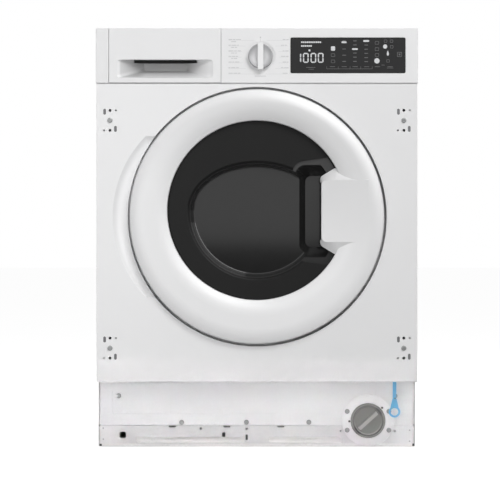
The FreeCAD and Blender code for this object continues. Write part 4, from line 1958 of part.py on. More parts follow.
def sump_hose():
    r = CAP_R - CAP_STEP + CAP_FIT + CHAMBER_WALL + HOSE_STANDOFF
    end = FILTER_X - r - SEAT
    points = (V(SUMP_X, Y_SUMP, sump_top() - SEAT), V(SUMP_X, Y_SUMP, FILTER_Z), V(end, Y_SUMP, FILTER_Z))
    bend = end - SUMP_X - SUMP_BEND_IN
    inner = swept(points, SUMP_R - HOSE_T + SEAT, bend)
    return swept(points, SUMP_R + SEAT, bend).cut(inner)


def tub_hoses():
    return group([sump_hose(), dispenser_hose()])


def drain_pipe():
    r = CAP_R - CAP_STEP + CAP_FIT + CHAMBER_WALL + SCROLL_STEP
    y = pump_y() - SCROLL_LEN / 2
    z1 = Z_BASE + DRAIN_UP
    points = (V(FILTER_X, y, FILTER_Z + r + SEAT), V(FILTER_X, y, z1), V(FILTER_X, Y_REAR + SPIGOT_PROUD, z1))
    spigot = rod_y(SPIGOT_R, Y_REAR + SEAT, Y_REAR + SPIGOT_PROUD, FILTER_X, z1)
    bore = swept(points, DRAIN_R - HOSE_T + SEAT, DRAIN_BEND)
    return swept(points, DRAIN_R, DRAIN_BEND).fuse(spigot).cut(bore).removeSplitter()


def mains_gland():
    z = Z_LEDGE + GLAND_UP
    y = Y_REAR
    corners = [(GLAND_R - GLAND_WALL, y - GLAND_IN), (GLAND_R + GLAND_FLANGE, y - GLAND_IN, 1.0),
               (GLAND_R + GLAND_FLANGE, y - SHEET), (GLAND_R, y - SHEET), (GLAND_R, y),
               (GLAND_R + GLAND_TAPER, y), (GLAND_R, y + SPIGOT_PROUD * GLAND_OUT, 1.0),
               (GLAND_R - GLAND_WALL, y + SPIGOT_PROUD * GLAND_OUT)]
    return turned_y(corners, GLAND_X, z)


def cabinet_fasteners():
    """Pan-head screws of the plinth, bezel, hinge plates and rear cover, and the feet's lock nuts."""
    pieces = [screw(x, y, z) for x, y, z in plinth_screw_spots()]
    pieces += [screw(x, Y_LEDGE - BEZEL_T, z) for x, z in bezel_screws()]
    pieces += [screw(x, Y_FRONT, z) for x, z in group_centres()]
    for x, z in cover_screw_spots():
        facing = screw(x, -Y_REAR - SHEET, z)
        pieces.append(facing.mirror(V(0, 0, 0), V(0, 1, 0)))
    return group(pieces + foot_nuts())


os.makedirs("parts", exist_ok=True)
pieces = {
    "left_side_panel": mirrored(side_panel()),
    "right_side_panel": side_panel(),
    "rear_panel": rear_panel(),
    "rear_cover": rear_cover(),
    "top_cover": top_cover(),
    "top_rails": top_rails(),
    "base_tray": base_tray(),
    "plinth_rail": plinth_rail(),
    "service_panel": service_panel(),
    "filter_bezel": filter_bezel(),
    "front_panel": front_panel(),
    "hinge_plates": hinge_plates(),
    "control_fascia": control_fascia(),
    "display_lens": display_lens(),
    "control_board": control_board(),
    "dispenser_housing": dispenser_housing(),
    "inlet_valve": inlet_valve(),
    "drain_pump": drain_pump(),
    "drain_pipe": drain_pipe(),
    "tub_hoses": tub_hoses(),
    "door_seal": door_seal(),
    "door_lock": door_lock(),
    "hinge_bracket": hinge_bracket(),
    "mains_gland": mains_gland(),
    "suspension_springs": suspension_springs(),
    "damper_cylinders": damper_cylinders(),
    "cabinet_fasteners": cabinet_fasteners(),
    "tub_front": tub_front(),
    "tub_rear": tub_rear(),
    "counterweights": counterweights(),
    "drum_bearings": drum_bearings(),
    "motor_body": motor_body(),
    "wash_heater": wash_heater(),
    "damper_rods": damper_rods(),
    "drive_belt": drive_belt(),
    "dryer_duct": dryer_duct(),
    "drum_shell": drum_shell(),
    "drum_lifters": drum_lifters(),
    "drum_spider": drum_spider(),
    "drum_pulley": drum_pulley(),
    "motor_rotor": motor_rotor(),
    "dryer_fan": dryer_fan(),
    "pump_impeller": pump_impeller(),
    "door_ring": door_ring(),
    "door_window": door_window(),
    "door_glass": door_glass(),
    "door_frame": door_frame(),
    "hinge_arm": hinge_arm(),
    "door_hook": door_hook(),
    "drawer_front": drawer_front(),
    "drawer_tray": drawer_tray(),
    "siphon_cap": siphon_cap(),
    "programme_knob": programme_knob(),
    "filter_cap": filter_cap(),
    "filter_basket": filter_basket(),
    "release_tag": release_tag(),
}
corner_names = ("front_left", "rear_left", "front_right", "rear_right")
for name, (x, y) in zip(corner_names, foot_spots()):
    pieces["foot_" + name] = foot(x, y)
for name, shape in pieces.items():
    shape.exportStep("parts/" + name + ".step")
    solids = shape.Solids
    print(name, len(solids), "solids", all(s.isValid() for s in solids), round(shape.Volume / 1000.0, 1),
          "cm3")
print(len(pieces), "pieces")
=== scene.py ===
# %% [markdown]
# # An integrated washer dryer
# A built-in washer dryer stands in a kitchen niche behind a furniture door. Its front is a pressed
# white panel with a round porthole, a control fascia above and a set-back plinth below.
# The solids of the machine come packed from the construction model. This lesson gives every solid a
# finish, adds the printed and pierced details and sets up the studio.

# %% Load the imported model
import json
import math

import bmesh
import bpy
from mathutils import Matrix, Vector


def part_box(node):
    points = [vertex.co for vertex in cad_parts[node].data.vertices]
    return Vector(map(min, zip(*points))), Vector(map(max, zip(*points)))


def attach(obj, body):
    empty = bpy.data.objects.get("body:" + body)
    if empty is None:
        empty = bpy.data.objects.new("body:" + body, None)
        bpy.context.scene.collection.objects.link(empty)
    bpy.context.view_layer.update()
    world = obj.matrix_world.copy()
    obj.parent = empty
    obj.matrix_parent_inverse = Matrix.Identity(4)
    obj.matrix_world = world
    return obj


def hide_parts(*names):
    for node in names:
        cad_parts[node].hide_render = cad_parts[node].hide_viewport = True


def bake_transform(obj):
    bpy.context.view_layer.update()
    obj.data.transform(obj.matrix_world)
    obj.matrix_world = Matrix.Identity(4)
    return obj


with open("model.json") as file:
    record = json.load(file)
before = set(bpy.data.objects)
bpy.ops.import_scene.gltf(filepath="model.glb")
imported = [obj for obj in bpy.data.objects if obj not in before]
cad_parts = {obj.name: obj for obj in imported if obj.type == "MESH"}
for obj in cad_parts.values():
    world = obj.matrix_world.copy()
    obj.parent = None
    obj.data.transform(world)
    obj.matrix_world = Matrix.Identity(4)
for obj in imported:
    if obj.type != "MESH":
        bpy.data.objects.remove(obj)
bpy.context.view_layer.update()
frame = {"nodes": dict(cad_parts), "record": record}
scene = bpy.context.scene
MM = 0.001


def stand(name, data):
    """An object that stands in the scene."""
    thing = bpy.data.objects.new(name, data)
    scene.collection.objects.link(thing)
    return thing


# %% [markdown]
# ## Writing materials as expressions
# A procedural finish is a small sum: colour plus a little noise, roughness plus a little wear.
# Node by node that is hard to read, so one class wraps a socket, and Python's own operators add the
# Math nodes. Every other node comes from a single method that takes its type, settings and sockets.
# A few helpers name the sums that come back: a place, a distance, a soft step, a tone.


# %% A socket that can be calculated with
class Tap:
    """An output socket of a material's node tree."""

    def __init__(self, tree, socket=None):
        self.tree = tree
        self.socket = socket

    def add(self, kind, settings=None, sockets=None, output=0):
        node = self.tree.nodes.new(kind)
        for name, value in (settings or {}).items():
            setattr(node, name, value)
        for name, value in (sockets or {}).items():
            if isinstance(value, Tap):
                self.tree.links.new(value.socket, node.inputs[name])
            else:
                node.inputs[name].default_value = value
        return Tap(self.tree, node.outputs[output])

    def math(self, operation, first, second):
        return self.add("ShaderNodeMath", {"operation": operation}, {0: first, 1: second})

    def __add__(self, other):
        return self.math("ADD", self, other)

    def __radd__(self, other):
        return self.math("ADD", other, self)

    def __sub__(self, other):
        return self.math("SUBTRACT", self, other)

    def __rsub__(self, other):
        return self.math("SUBTRACT", other, self)

    def __mul__(self, other):
        return self.math("MULTIPLY", self, other)

    def __rmul__(self, other):
        return self.math("MULTIPLY", other, self)

    def __truediv__(self, other):
        return self.math("DIVIDE", self, other)


def new_finish(name):
    """A material with an empty Principled shader, and a tap to start its expressions from."""
    finish = bpy.data.materials.new(name)
    finish.use_nodes = True
    shader = finish.node_tree.nodes["Principled BSDF"]
    return finish, shader, Tap(finish.node_tree)


def feed(tap, shader, socket, value):
    tap.tree.links.new(value.socket, shader.inputs[socket])


def place(tap, stretch=(1.0, 1.0, 1.0)):
    """The piece's own coordinates in metres, stretched for a grain that runs one way."""
    spot = tap.add("ShaderNodeTexCoord", output="Object")
    return tap.add("ShaderNodeMapping", {}, {"Vector": spot, "Scale": stretch})


def axis(tap, spot, letter):
    """One coordinate of a point."""
    return tap.add("ShaderNodeSeparateXYZ", {}, {"Vector": spot}, output=letter)


def about(tap, spot, centre):
    """How far a point lies to the right of a centre and above it, and its distance."""
    x = axis(tap, spot, "X") - centre.x
    z = axis(tap, spot, "Z") - centre.z
    return x, z, tap.math("SQRT", x * x + z * z, 0.0)


def noise(tap, spot, scale, detail=2.0):
    return tap.add("ShaderNodeTexNoise", {}, {"Vector": spot, "Scale": scale, "Detail": detail}, output="Fac")


def mixed(tap, factor, one, other):
    """One colour changing into another."""
    return tap.add("ShaderNodeMix", {"data_type": "RGBA"}, {0: factor, 6: one, 7: other}, output=2)


def part_of(tap, value, start, end):
    """0 before start, 1 after end, and a soft rise between them."""
    return tap.add("ShaderNodeMapRange", {"interpolation_type": "SMOOTHSTEP"},
                   {"Value": value, "From Min": start, "From Max": end})


def scaled(tap, colour, level):
    """A colour made lighter or darker by a level that may change over the piece."""
    return tap.add("ShaderNodeVectorMath", {"operation": "SCALE"}, {"Vector": colour, "Scale": level},
                   output="Vector")


def tone(colour, share):
    """A plain colour made lighter or darker by a fixed share."""
    return tuple(min(1.0, c * share) for c in colour[:3]) + (1.0,)


print("material writing is ready")

# %% [markdown]
# ## The finishes of the machine
# The cabinet is stove-enamelled sheet: almost flat, with the faint orange peel of sprayed paint.
# The fascia, door ring and knob are moulded and show a finer, satin grain. A slow noise drifts the
# colour and a fine one makes the grain. Only scale and depth differ, so one recipe covers them all.

# %% Painted sheet, moulded plastic and rubber
DRIFT_SCALE = 6.0
GLOSS_SPREAD = 0.1
GRAIN_STRENGTH = 0.12
MOULD_GRAIN = 900.0
# roughness, scale of the grain, its depth in metres and the drift of the colour
ENAMEL = (0.34, 420.0, 0.0004, 0.008)
MOULDED = (0.36, MOULD_GRAIN, 0.0002, 0.006)
WHITE = (0.80, 0.80, 0.805)


def grained(name, colour, roughness, fine, depth, drift=0.04, light_bands=()):
    """Paint or moulded plastic: a little drift in colour and gloss, and a fine grain.
    A light band paints shade or light into the colour: a measure, where it starts and ends, and the share of
    the tone that is left at its end."""
    finish, shader, tap = new_finish(name)
    spot = place(tap)
    slow = noise(tap, spot, DRIFT_SCALE, 3.0)
    grain = noise(tap, spot, fine)
    base = mixed(tap, slow, tone(colour, 1.0 - drift), tone(colour, 1.0 + drift))
    for measure, start, end, share in light_bands:
        at = axis(tap, spot, measure[-1])
        if measure == "side X":
            at = tap.math("ABSOLUTE", at, 0.0)
        # painted shade or painted light along each band
        base = scaled(tap, base, 1.0 + (share - 1.0) * part_of(tap, at, start, end))
    feed(tap, shader, "Base Color", base)
    feed(tap, shader, "Roughness", roughness - GLOSS_SPREAD / 2 + GLOSS_SPREAD * grain)
    bump = tap.add("ShaderNodeBump", {}, {"Height": grain, "Strength": GRAIN_STRENGTH, "Distance": depth})
    feed(tap, shader, "Normal", bump)
    return finish


finishes = {
    "white_enamel": grained("white_enamel", (0.78, 0.78, 0.785), *ENAMEL),
    "white_plastic": grained("white_plastic", WHITE, *MOULDED),
    "base_plastic": grained("base_plastic", (0.70, 0.70, 0.69), 0.55, 700.0, 0.0004),
    "grey_plastic": grained("grey_plastic", (0.62, 0.63, 0.64), 0.45, 800.0, 0.0003),
    "blue_plastic": grained("blue_plastic", (0.09, 0.36, 0.60), 0.42, 900.0, 0.0002),
    "filter_plastic": grained("filter_plastic", (0.25, 0.255, 0.235), 0.5, 800.0, 0.0004),
    "lint_plastic": grained("lint_plastic", (0.40, 0.42, 0.43), 0.5, 800.0, 0.0003),
    "seal_rubber": grained("seal_rubber", (0.17, 0.175, 0.18), 0.6, 500.0, 0.0005),
    "black_plastic": grained("black_plastic", (0.018, 0.018, 0.019), 0.45, 800.0, 0.0003, 0.15),
    "tub_plastic": grained("tub_plastic", (0.45, 0.46, 0.45), 0.55, 300.0, 0.0006),
    "weight_cast": grained("weight_cast", (0.30, 0.30, 0.29), 0.85, 220.0, 0.002, 0.12),
    "lifter_plastic": grained("lifter_plastic", (0.50, 0.52, 0.54), 0.42, 800.0, 0.0003),
    "motor_steel": grained("motor_steel", (0.06, 0.06, 0.065), 0.45, 400.0, 0.0005),
    "fan_plastic": grained("fan_plastic", (0.03, 0.03, 0.032), 0.5, 700.0, 0.0003),
    "board": grained("board", (0.02, 0.11, 0.05), 0.4, 300.0, 0.0003, 0.2),
}
print("grained finishes:", len(finishes))

# %% [markdown]
# ## Bare metal
# Zinc-coated sheet shows a spangle of pale and darker crystals, which Voronoi cells draw well.
# Rolled and drawn steel has hair lines along the working direction: noise that is stretched many
# times along one axis. Die castings are duller and evenly pitted.

# %% Zinc, drawn steel and die casting
SPANGLE_SCALE = 70.0
HAIR_SCALE = 60.0
METAL_SPREAD = 0.16


def spangled(name, colour):
    """Zinc-coated sheet with its crystals."""
    finish, shader, tap = new_finish(name)
    cells = tap.add("ShaderNodeTexVoronoi", {"feature": "F1"}, {"Vector": place(tap), "Scale": SPANGLE_SCALE},
                    output="Color")
    level = tap.add("ShaderNodeRGBToBW", {}, {"Color": cells})
    feed(tap, shader, "Base Color", mixed(tap, level, tone(colour, 0.88), tone(colour, 1.06)))
    feed(tap, shader, "Roughness", 0.36 + METAL_SPREAD * level)
    shader.inputs["Metallic"].default_value = 0.9
    return finish


def drawn(name, colour, roughness, stretch):
    """Rolled, drawn or cast metal, whose hair lines follow the stretch."""
    finish, shader, tap = new_finish(name)
    hair = noise(tap, place(tap, stretch), HAIR_SCALE, 4.0)
    feed(tap, shader, "Base Color", mixed(tap, hair, tone(colour, 0.86), tone(colour, 1.08)))
    feed(tap, shader, "Roughness", roughness - METAL_SPREAD / 2 + METAL_SPREAD * hair)
    bump = tap.add("ShaderNodeBump", {}, {"Height": hair, "Strength": 0.08, "Distance": 0.0003})
    feed(tap, shader, "Normal", bump)
    shader.inputs["Metallic"].default_value = 1.0
    return finish


ALONG_Y = (12.0, 0.6, 12.0)
ALONG_Z = (12.0, 12.0, 0.6)
ALL_WAYS = (4.0, 4.0, 4.0)
finishes.update({
    "zinc_sheet": spangled("zinc_sheet", (0.60, 0.61, 0.62)),
    "drum_steel": drawn("drum_steel", (0.62, 0.62, 0.63), 0.3, ALONG_Y),
    "spring_steel": drawn("spring_steel", (0.42, 0.42, 0.44), 0.35, ALONG_Z),
    "screw_steel": drawn("screw_steel", (0.27, 0.275, 0.275), 0.42, ALONG_Y),
    "catch_metal": drawn("catch_metal", (0.50, 0.50, 0.51), 0.4, ALONG_Y),
    "cast_aluminium": drawn("cast_aluminium", (0.58, 0.58, 0.59), 0.5, ALL_WAYS),
})
print("metal finishes are ready")

# %% [markdown]
# ## Smoked cover, touch panel and glass
# The porthole's outer cover and the touch panel are dark plastic. The cover's rim is dull and its hollow
# polished, so two shaders are mixed by depth. The bowl behind is clear pressed glass. Each solid then gets
# the finish that its slot names.

# %% Polished dark plastic and clear glass
HAZE_SCALE = 14.0
RIM_BLACK = (0.010, 0.010, 0.010)
DISH_BLACK = (0.017, 0.017, 0.017, 1.0)
DISH_WALL_LIGHT = (0.036, 0.036, 0.036, 1.0)


def polished(name, colour, roughness):
    """Dark plastic with a faint haze."""
    finish, shader, tap = new_finish(name)
    haze = noise(tap, place(tap), HAZE_SCALE, 3.0)
    feed(tap, shader, "Base Color", mixed(tap, haze, tone(colour, 0.9), tone(colour, 1.1)))
    feed(tap, shader, "Roughness", roughness + 0.03 * haze)
    shader.inputs["Specular IOR Level"].default_value = 0.3
    return finish


def clear_glass(name):
    """Pressed glass with slow ripples."""
    finish, shader, tap = new_finish(name)
    ripple = noise(tap, place(tap), 9.0, 1.0)
    feed(tap, shader, "Roughness", 0.02 + 0.03 * ripple)
    shader.inputs["Base Color"].default_value = (0.93, 0.96, 0.95, 1.0)
    shader.inputs["Transmission Weight"].default_value = 1.0
    shader.inputs["IOR"].default_value = 1.5
    return finish


def smoked_cover(name, rim_y, dish_y):
    """Black moulding: a dull flat rim, and a polished hollow that mirrors the studio, whose wall has painted
    light, a lighter grey.
    """
    finish, rim, tap = new_finish(name)
    spot = place(tap)
    inside = part_of(tap, axis(tap, spot, "Y"), rim_y, dish_y)
    haze = noise(tap, spot, HAZE_SCALE, 3.0)
    feed(tap, rim, "Base Color", mixed(tap, haze, tone(RIM_BLACK, 0.9), tone(RIM_BLACK, 1.1)))
    rim.inputs["Roughness"].default_value = 0.42
    rim.inputs["Specular IOR Level"].default_value = 0.14
    # painted light: the dish wall's colour is lifted to a lighter grey
    wall = 4.0 * inside * (1.0 - inside)
    gloss = 0.06 + 0.02 * haze + 0.1 * wall
    dish = tap.add("ShaderNodeBsdfPrincipled", {},
                   {"Base Color": mixed(tap, wall, DISH_BLACK, DISH_WALL_LIGHT), "Roughness": gloss,
                    "Coat Weight": wall, "Specular IOR Level": 0.5})
    both = tap.add("ShaderNodeMixShader", {}, {0: inside, 1: Tap(tap.tree, rim.outputs[0]), 2: dish})
    tap.tree.links.new(both.socket, tap.tree.nodes["Material Output"].inputs["Surface"])
    return finish


RIM_DEPTH = 1.5
DISH_DEPTH = 9.0
window_low, window_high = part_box("door_window")
finishes["smoked_cover"] = smoked_cover("smoked_cover", window_low.y + RIM_DEPTH * MM,
                                        window_low.y + DISH_DEPTH * MM)
finishes["display_glass"] = polished("display_glass", (0.015, 0.015, 0.0155), 0.2)
finishes["bowl_glass"] = clear_glass("bowl_glass")
slot_of = {row["node"]: row["material_slot"] for row in frame["record"]["subparts"]}
for node, solid in frame["nodes"].items():
    solid.data.materials.clear()
    solid.data.materials.append(finishes[slot_of[node]])
print("finished", len(slot_of), "solids with", len(finishes), "finishes")

# %% [markdown]
# ## Sheet that catches the light unevenly
# In room light the pressed panel is a little darker towards the right, its nest is paler than its face, and
# the plinth falls off towards the floor. In an even studio the lamps alone don't give all of this. Bands of
# painted shade and painted light in the colour do: the panel is darker to the right and at its foot and
# lighter in its nest, the service panel and the filter's trim are darker towards the floor, and the rail is a
# darker grey with lighter ends. Each says along which measure the tone changes.


# %% Bands of tone on the panel and the plinth
def repaint(node, finish):
    """Give one solid a finish of its own."""
    frame["nodes"][node].data.materials[0] = finish
    print(node, "is now", finish.name)


panel_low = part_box("front_panel")[0]
NEST_START, NEST_END, NEST_LIGHT_SHARE = 2.0, 8.0, 1.18
# painted shade and light: measure, start and end in metres, share of the tone at the end
PANEL_SIDE_SHADE = ("X", -0.24, 0.20, 0.925)
PANEL_FOOT_SHADE = ("Z", 0.165, 0.130, 0.92)
PANEL_NEST_LIGHT = ("Y", panel_low.y + NEST_START * MM, panel_low.y + NEST_END * MM, NEST_LIGHT_SHARE)
SERVICE_FOOT_SHADE = ("Z", 0.085, 0.045, 0.86)
RAIL_LIT_ENDS = ("side X", 0.235, 0.280, 1.24)
BEZEL_FOOT_SHADE = ("Z", 0.098, 0.004, 0.72)
# painted shade towards the right and at the foot, painted light in the nest
repaint("front_panel", grained("front_enamel_painted_shade_and_light", (0.84, 0.84, 0.845), *ENAMEL,
                               light_bands=[PANEL_SIDE_SHADE, PANEL_FOOT_SHADE, PANEL_NEST_LIGHT]))
# painted shade: darker towards the floor
repaint("service_panel", grained("plinth_enamel_painted_shade", WHITE, *ENAMEL, light_bands=[SERVICE_FOOT_SHADE]))
# painted shade: a darker grey than the white sheet, lighter at the ends
repaint("plinth_rail", grained("rail_enamel_painted_shade", (0.55, 0.55, 0.555), *ENAMEL, light_bands=[RAIL_LIT_ENDS]))
# painted shade: darker towards the floor
repaint("filter_bezel", grained("bezel_white_painted_shade", (0.86, 0.86, 0.865), *MOULDED, light_bands=[BEZEL_FOOT_SHADE]))
# painted shade: the plates behind the hinge holes are dark so that the holes read dark
repaint("hinge_plates", drawn("hinge_zinc_painted_shade", (0.16, 0.16, 0.165), 0.55, ALONG_Z))

# %% [markdown]
# ## Mouldings with more than one tone
# The drawer's grip hollow gets greyer with depth and darker on one end wall: painted shade. The knob is a
# white bar over a satin grey dish; separate pieces could carry its two tones, but it is one moulding. The
# door's ring has painted shade on its inner slope on one side of the door and painted light on the other. The
# tone is worked out from the place on the piece: its depth, or its distance from a centre.

# %% Drawer, knob and door ring
WALL_START, WALL_END = -2.0, 1.0
END_WALL_SHADE = 0.27
DISH_GREY = (0.56, 0.56, 0.57, 1.0)
DISH_RIM_GREY = (0.36, 0.36, 0.37, 1.0)
BAR_WHITE = (0.84, 0.84, 0.845, 1.0)
DISH_FLAT = 0.62
FAR_SIDE = -0.2


def shaded_hollow(name, colour, front_y, depth, share, wall_x):
    """White moulding with painted shade: its hollow gets greyer with depth, and one end wall is darker."""
    finish, shader, tap = new_finish(name)
    spot = place(tap)
    back = axis(tap, spot, "Y")
    deep = tap.add("ShaderNodeMapRange", {},
                   {"Value": back, "From Min": front_y, "From Max": front_y + depth})
    behind = part_of(tap, back, front_y + WALL_START * MM, front_y + WALL_END * MM)
    wall = behind * part_of(tap, axis(tap, spot, "X"), wall_x[0], wall_x[1])
    grey = mixed(tap, deep, tone(colour, 1.0), tone(colour, share))
    # painted shade: greyer with depth and darker on one end wall
    feed(tap, shader, "Base Color", scaled(tap, grey, 1.0 - END_WALL_SHADE * wall))
    feed(tap, shader, "Roughness", 0.32 + GLOSS_SPREAD * noise(tap, spot, MOULD_GRAIN))
    return finish


def two_tone_knob(name, centre, bar_half, radius):
    """White grip bar over a satin grey dish, whose rim is a shade darker."""
    finish, shader, tap = new_finish(name)
    x, _, reach = about(tap, place(tap), centre)
    bar_here = tap.math("LESS_THAN", tap.math("ABSOLUTE", x, 0.0), bar_half)
    rim = part_of(tap, reach, DISH_FLAT * radius, radius)
    grey = mixed(tap, rim, DISH_GREY, DISH_RIM_GREY)
    feed(tap, shader, "Base Color", mixed(tap, bar_here, grey, BAR_WHITE))
    shader.inputs["Roughness"].default_value = 0.36
    return finish


def lit_ring(name, colour, centre, edge, towards, amount):
    """White moulding whose inner slope has painted shade on one side of the door and painted light on the
    other.
    """
    finish, shader, tap = new_finish(name)
    spot = place(tap)
    x, z, reach = about(tap, spot, centre)
    slope = part_of(tap, reach, edge[0], edge[1])
    side = tap.math("MAXIMUM", (math.cos(towards) * x + math.sin(towards) * z) / reach, FAR_SIDE)
    feed(tap, shader, "Base Color", scaled(tap, colour, 1.0 - amount * slope * side))
    feed(tap, shader, "Roughness", 0.31 + GLOSS_SPREAD * noise(tap, spot, MOULD_GRAIN))
    return finish


def middle_of(corners):
    """The middle of a box and half its width."""
    low, high = corners
    return (low + high) / 2, (high.x - low.x) / 2


HOLLOW_START, HOLLOW_DEPTH, HOLLOW_SHADE = 4.0, 26.0, 0.5
HOLLOW_WALL = (-0.205, -0.224)
KNOB_BAR_HALF = 5.32
RING_SLOPE = (4.0, 22.0)
RING_DARK_TOWARDS, RING_SHADE = math.radians(62), 0.17
fascia_low, fascia_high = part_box("control_fascia")
hollow_y = fascia_low.y + HOLLOW_START * MM
# painted shade in the grip hollow
repaint("drawer_front", shaded_hollow("drawer_white_painted_shade", WHITE, hollow_y, HOLLOW_DEPTH * MM, HOLLOW_SHADE,
                                      HOLLOW_WALL))
knob_centre, knob_r = middle_of(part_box("programme_knob"))
repaint("programme_knob", two_tone_knob("knob_white", knob_centre, KNOB_BAR_HALF * MM, knob_r))
ring_centre, ring_r = middle_of(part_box("door_ring"))
ring_edge = [ring_r - inset * MM for inset in RING_SLOPE]
# painted shade and painted light on the ring's inner slope
repaint("door_ring", lit_ring("ring_white_painted_light", WHITE, ring_centre, ring_edge, RING_DARK_TOWARDS, RING_SHADE))

# %% [markdown]
# ## The filter's cap
# The cap is dark grey with a grip bar across it, and a bead and a groove inside its rim. Light and shade are
# painted into its colour: a painted highlight along the bar and on the lower bead, and painted shade in the
# groove, deepest at the bottom, and beside the bar's ends. Highlights could be found from the mesh's
# sharpness, but the cap's form is plain enough to say where each tone lies, in millimetres from its centre
# and from its bar.

# %% Tones of the cap
CAP_GREY = (0.152, 0.154, 0.145)
CAP_ANGLE = math.radians(42)
CAP_TURN = (math.cos(CAP_ANGLE), math.sin(CAP_ANGLE))
BAR_SIDE, BAR_END = (2.6, 3.9), (22.0, 23.6)
SHADE_SIDE, SHADE_END = (4.0, 11.0), (21.0, 24.0)
BEAD_IN, BEAD_OUT = (23.8, 25.0), (25.4, 26.4)
GROOVE_IN, GROOVE_OUT = (26.0, 27.2), (28.2, 29.4)
LOW_HALF = (6.0, -22.0)
BAR_HIGHLIGHT, BEAD_HIGHLIGHT, RIM_GAIN = 1.25, 0.9, 0.2
GROOVE_SHADE, LOW_GROOVE_SHADE, SHADE_LOSS = 0.25, 0.5, 0.45


def ringed_cap(name, centre):
    """Grey screw cap with a painted highlight on its grip bar and lower bead, painted shade in the groove
    inside the rim and beside the bar's ends, and a lighter rim.
    """
    finish, shader, tap = new_finish(name)
    spot = place(tap)
    x, z, reach = about(tap, spot, centre)

    def past(value, band):
        return part_of(tap, value, band[0] * MM, band[1] * MM)

    across = tap.math("ABSOLUTE", CAP_TURN[1] * x - CAP_TURN[0] * z, 0.0)
    along = tap.math("ABSOLUTE", CAP_TURN[0] * x + CAP_TURN[1] * z, 0.0)
    # painted highlight along the grip bar, painted shade beside its ends
    bar_highlight = (1.0 - past(across, BAR_SIDE)) * (1.0 - past(along, BAR_END))
    shade = (1.0 - past(across, SHADE_SIDE)) * past(along, SHADE_END)
    rim = past(reach, GROOVE_OUT)
    groove = past(reach, GROOVE_IN) * (1.0 - rim)
    bead = past(reach, BEAD_IN) * (1.0 - past(reach, BEAD_OUT))
    low = past(z, LOW_HALF)
    # painted highlight on the lower bead, painted shade in the groove, deepest at the bottom
    gain = BAR_HIGHLIGHT * bar_highlight + BEAD_HIGHLIGHT * bead * low + RIM_GAIN * rim
    loss = (GROOVE_SHADE + LOW_GROOVE_SHADE * low) * groove + SHADE_LOSS * shade * (1.0 - bead)
    feed(tap, shader, "Base Color", scaled(tap, CAP_GREY, 1.0 + gain - loss))
    feed(tap, shader, "Roughness", 0.45 + GLOSS_SPREAD * noise(tap, spot, 800.0))
    return finish


repaint("filter_cap", ringed_cap("cap_grey_painted_light", middle_of(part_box("filter_cap"))[0]))

# %% [markdown]
# ## Printed and lit marks
# The touch panel shows a time in seven-bar digits and columns of small symbols, some lit, some only
# printed. They could be painted in the material, but as thin plates they stay sharp from any
# distance. Each mark is an outline in millimetres that is drawn out by a tenth of a millimetre.

# %% A plate from each outline
MARK_T = 0.12
MARK_SINK = MARK_T / 4


def plates(name, outlines, face_y, finish, body="cabinet"):
    """Thin plates in front of a vertical face. Outlines run anticlockwise seen from the front."""
    bm = bmesh.new()
    for outline in outlines:
        near = [bm.verts.new((x * MM, face_y - MARK_T * MM, z * MM)) for x, z in outline]
        far = [bm.verts.new((x * MM, face_y + MARK_SINK * MM, z * MM)) for x, z in outline]
        bm.faces.new(near)
        bm.faces.new(far[::-1])
        for i in range(len(outline)):
            j = (i + 1) % len(outline)
            bm.faces.new((near[j], near[i], far[i], far[j]))
    mesh = bpy.data.meshes.new(name)
    bm.to_mesh(mesh)
    bm.free()
    mesh.materials.append(finish)
    piece = stand(name, mesh)
    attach(piece, body)
    print(name, "has", len(outlines), "marks")


def glowing(name, colour, strength=0.0):
    """Ink, or a lit mark when its strength is more than 0."""
    finish, shader, tap = new_finish(name)
    flicker = noise(tap, place(tap), 120.0, 1.0)
    feed(tap, shader, "Base Color", mixed(tap, flicker, tone(colour, 0.85), tone(colour, 1.0)))
    feed(tap, shader, "Emission Color", mixed(tap, flicker, tone(colour, 0.8), tone(colour, 1.0)))
    shader.inputs["Emission Strength"].default_value = strength
    shader.inputs["Roughness"].default_value = 0.4
    return finish


print("a mark stands", MARK_T, "mm proud")

# %% [markdown]
# ## Outlines
# All symbols come from a few plain forms: a bar, a disc, a square with soft corners, a drop and an empty
# box. Curves could be drawn by hand for each symbol, but at this size the plain forms read the same.

# %% Bars, discs, soft squares and drops
CORNERS = ((1, 1), (-1, 1), (-1, -1), (1, -1))
CORNER_STEPS = 4
DROP_SIDES = 20
DROP_TIP, DROP_PINCH = 0.25, 0.2


def bar(x, z, width, height):
    """A bar about its middle."""
    a, b = width / 2, height / 2
    return [(x - a, z - b), (x + a, z - b), (x + a, z + b), (x - a, z + b)]


def disc(x, z, r, sides=24):
    return [(x + r * math.cos(t), z + r * math.sin(t))
            for t in (2 * math.pi * i / sides for i in range(sides))]


def soft_square(x, z, width, height, r):
    """A bar with rounded corners."""
    outline = []
    for turn, (sx, sz) in enumerate(CORNERS):
        for step in range(CORNER_STEPS):
            t = math.radians(90 * turn + 90 / (CORNER_STEPS - 1) * step)
            across, up = sx * (width / 2 - r), sz * (height / 2 - r)
            outline.append((x + across + r * math.cos(t), z + up + r * math.sin(t)))
    return outline


def pill(x, z, width, height):
    """A bar with round ends."""
    return soft_square(x, z, width, height, min(width, height) / 2)


def drop(x, z, width, height):
    """A water drop with its point up."""
    outline = []
    for i in range(DROP_SIDES):
        t = 2 * math.pi * i / DROP_SIDES
        belly = (1.0 - DROP_TIP) * (1 - math.sin(t)) / 2
        pinch = DROP_PINCH * math.sin(t / 2 + math.pi / 4) ** 2
        outline.append((x + width / 2 * math.cos(t) * (DROP_TIP + belly + pinch),
                        z + height / 2 * math.sin(t)))
    return outline


def frame_of(x, z, width, height, line):
    """Four thin bars round an empty box."""
    return [bar(x, z + height / 2, width, line), bar(x, z - height / 2, width, line),
            bar(x - width / 2, z, line, height - line), bar(x + width / 2, z, line, height - line)]


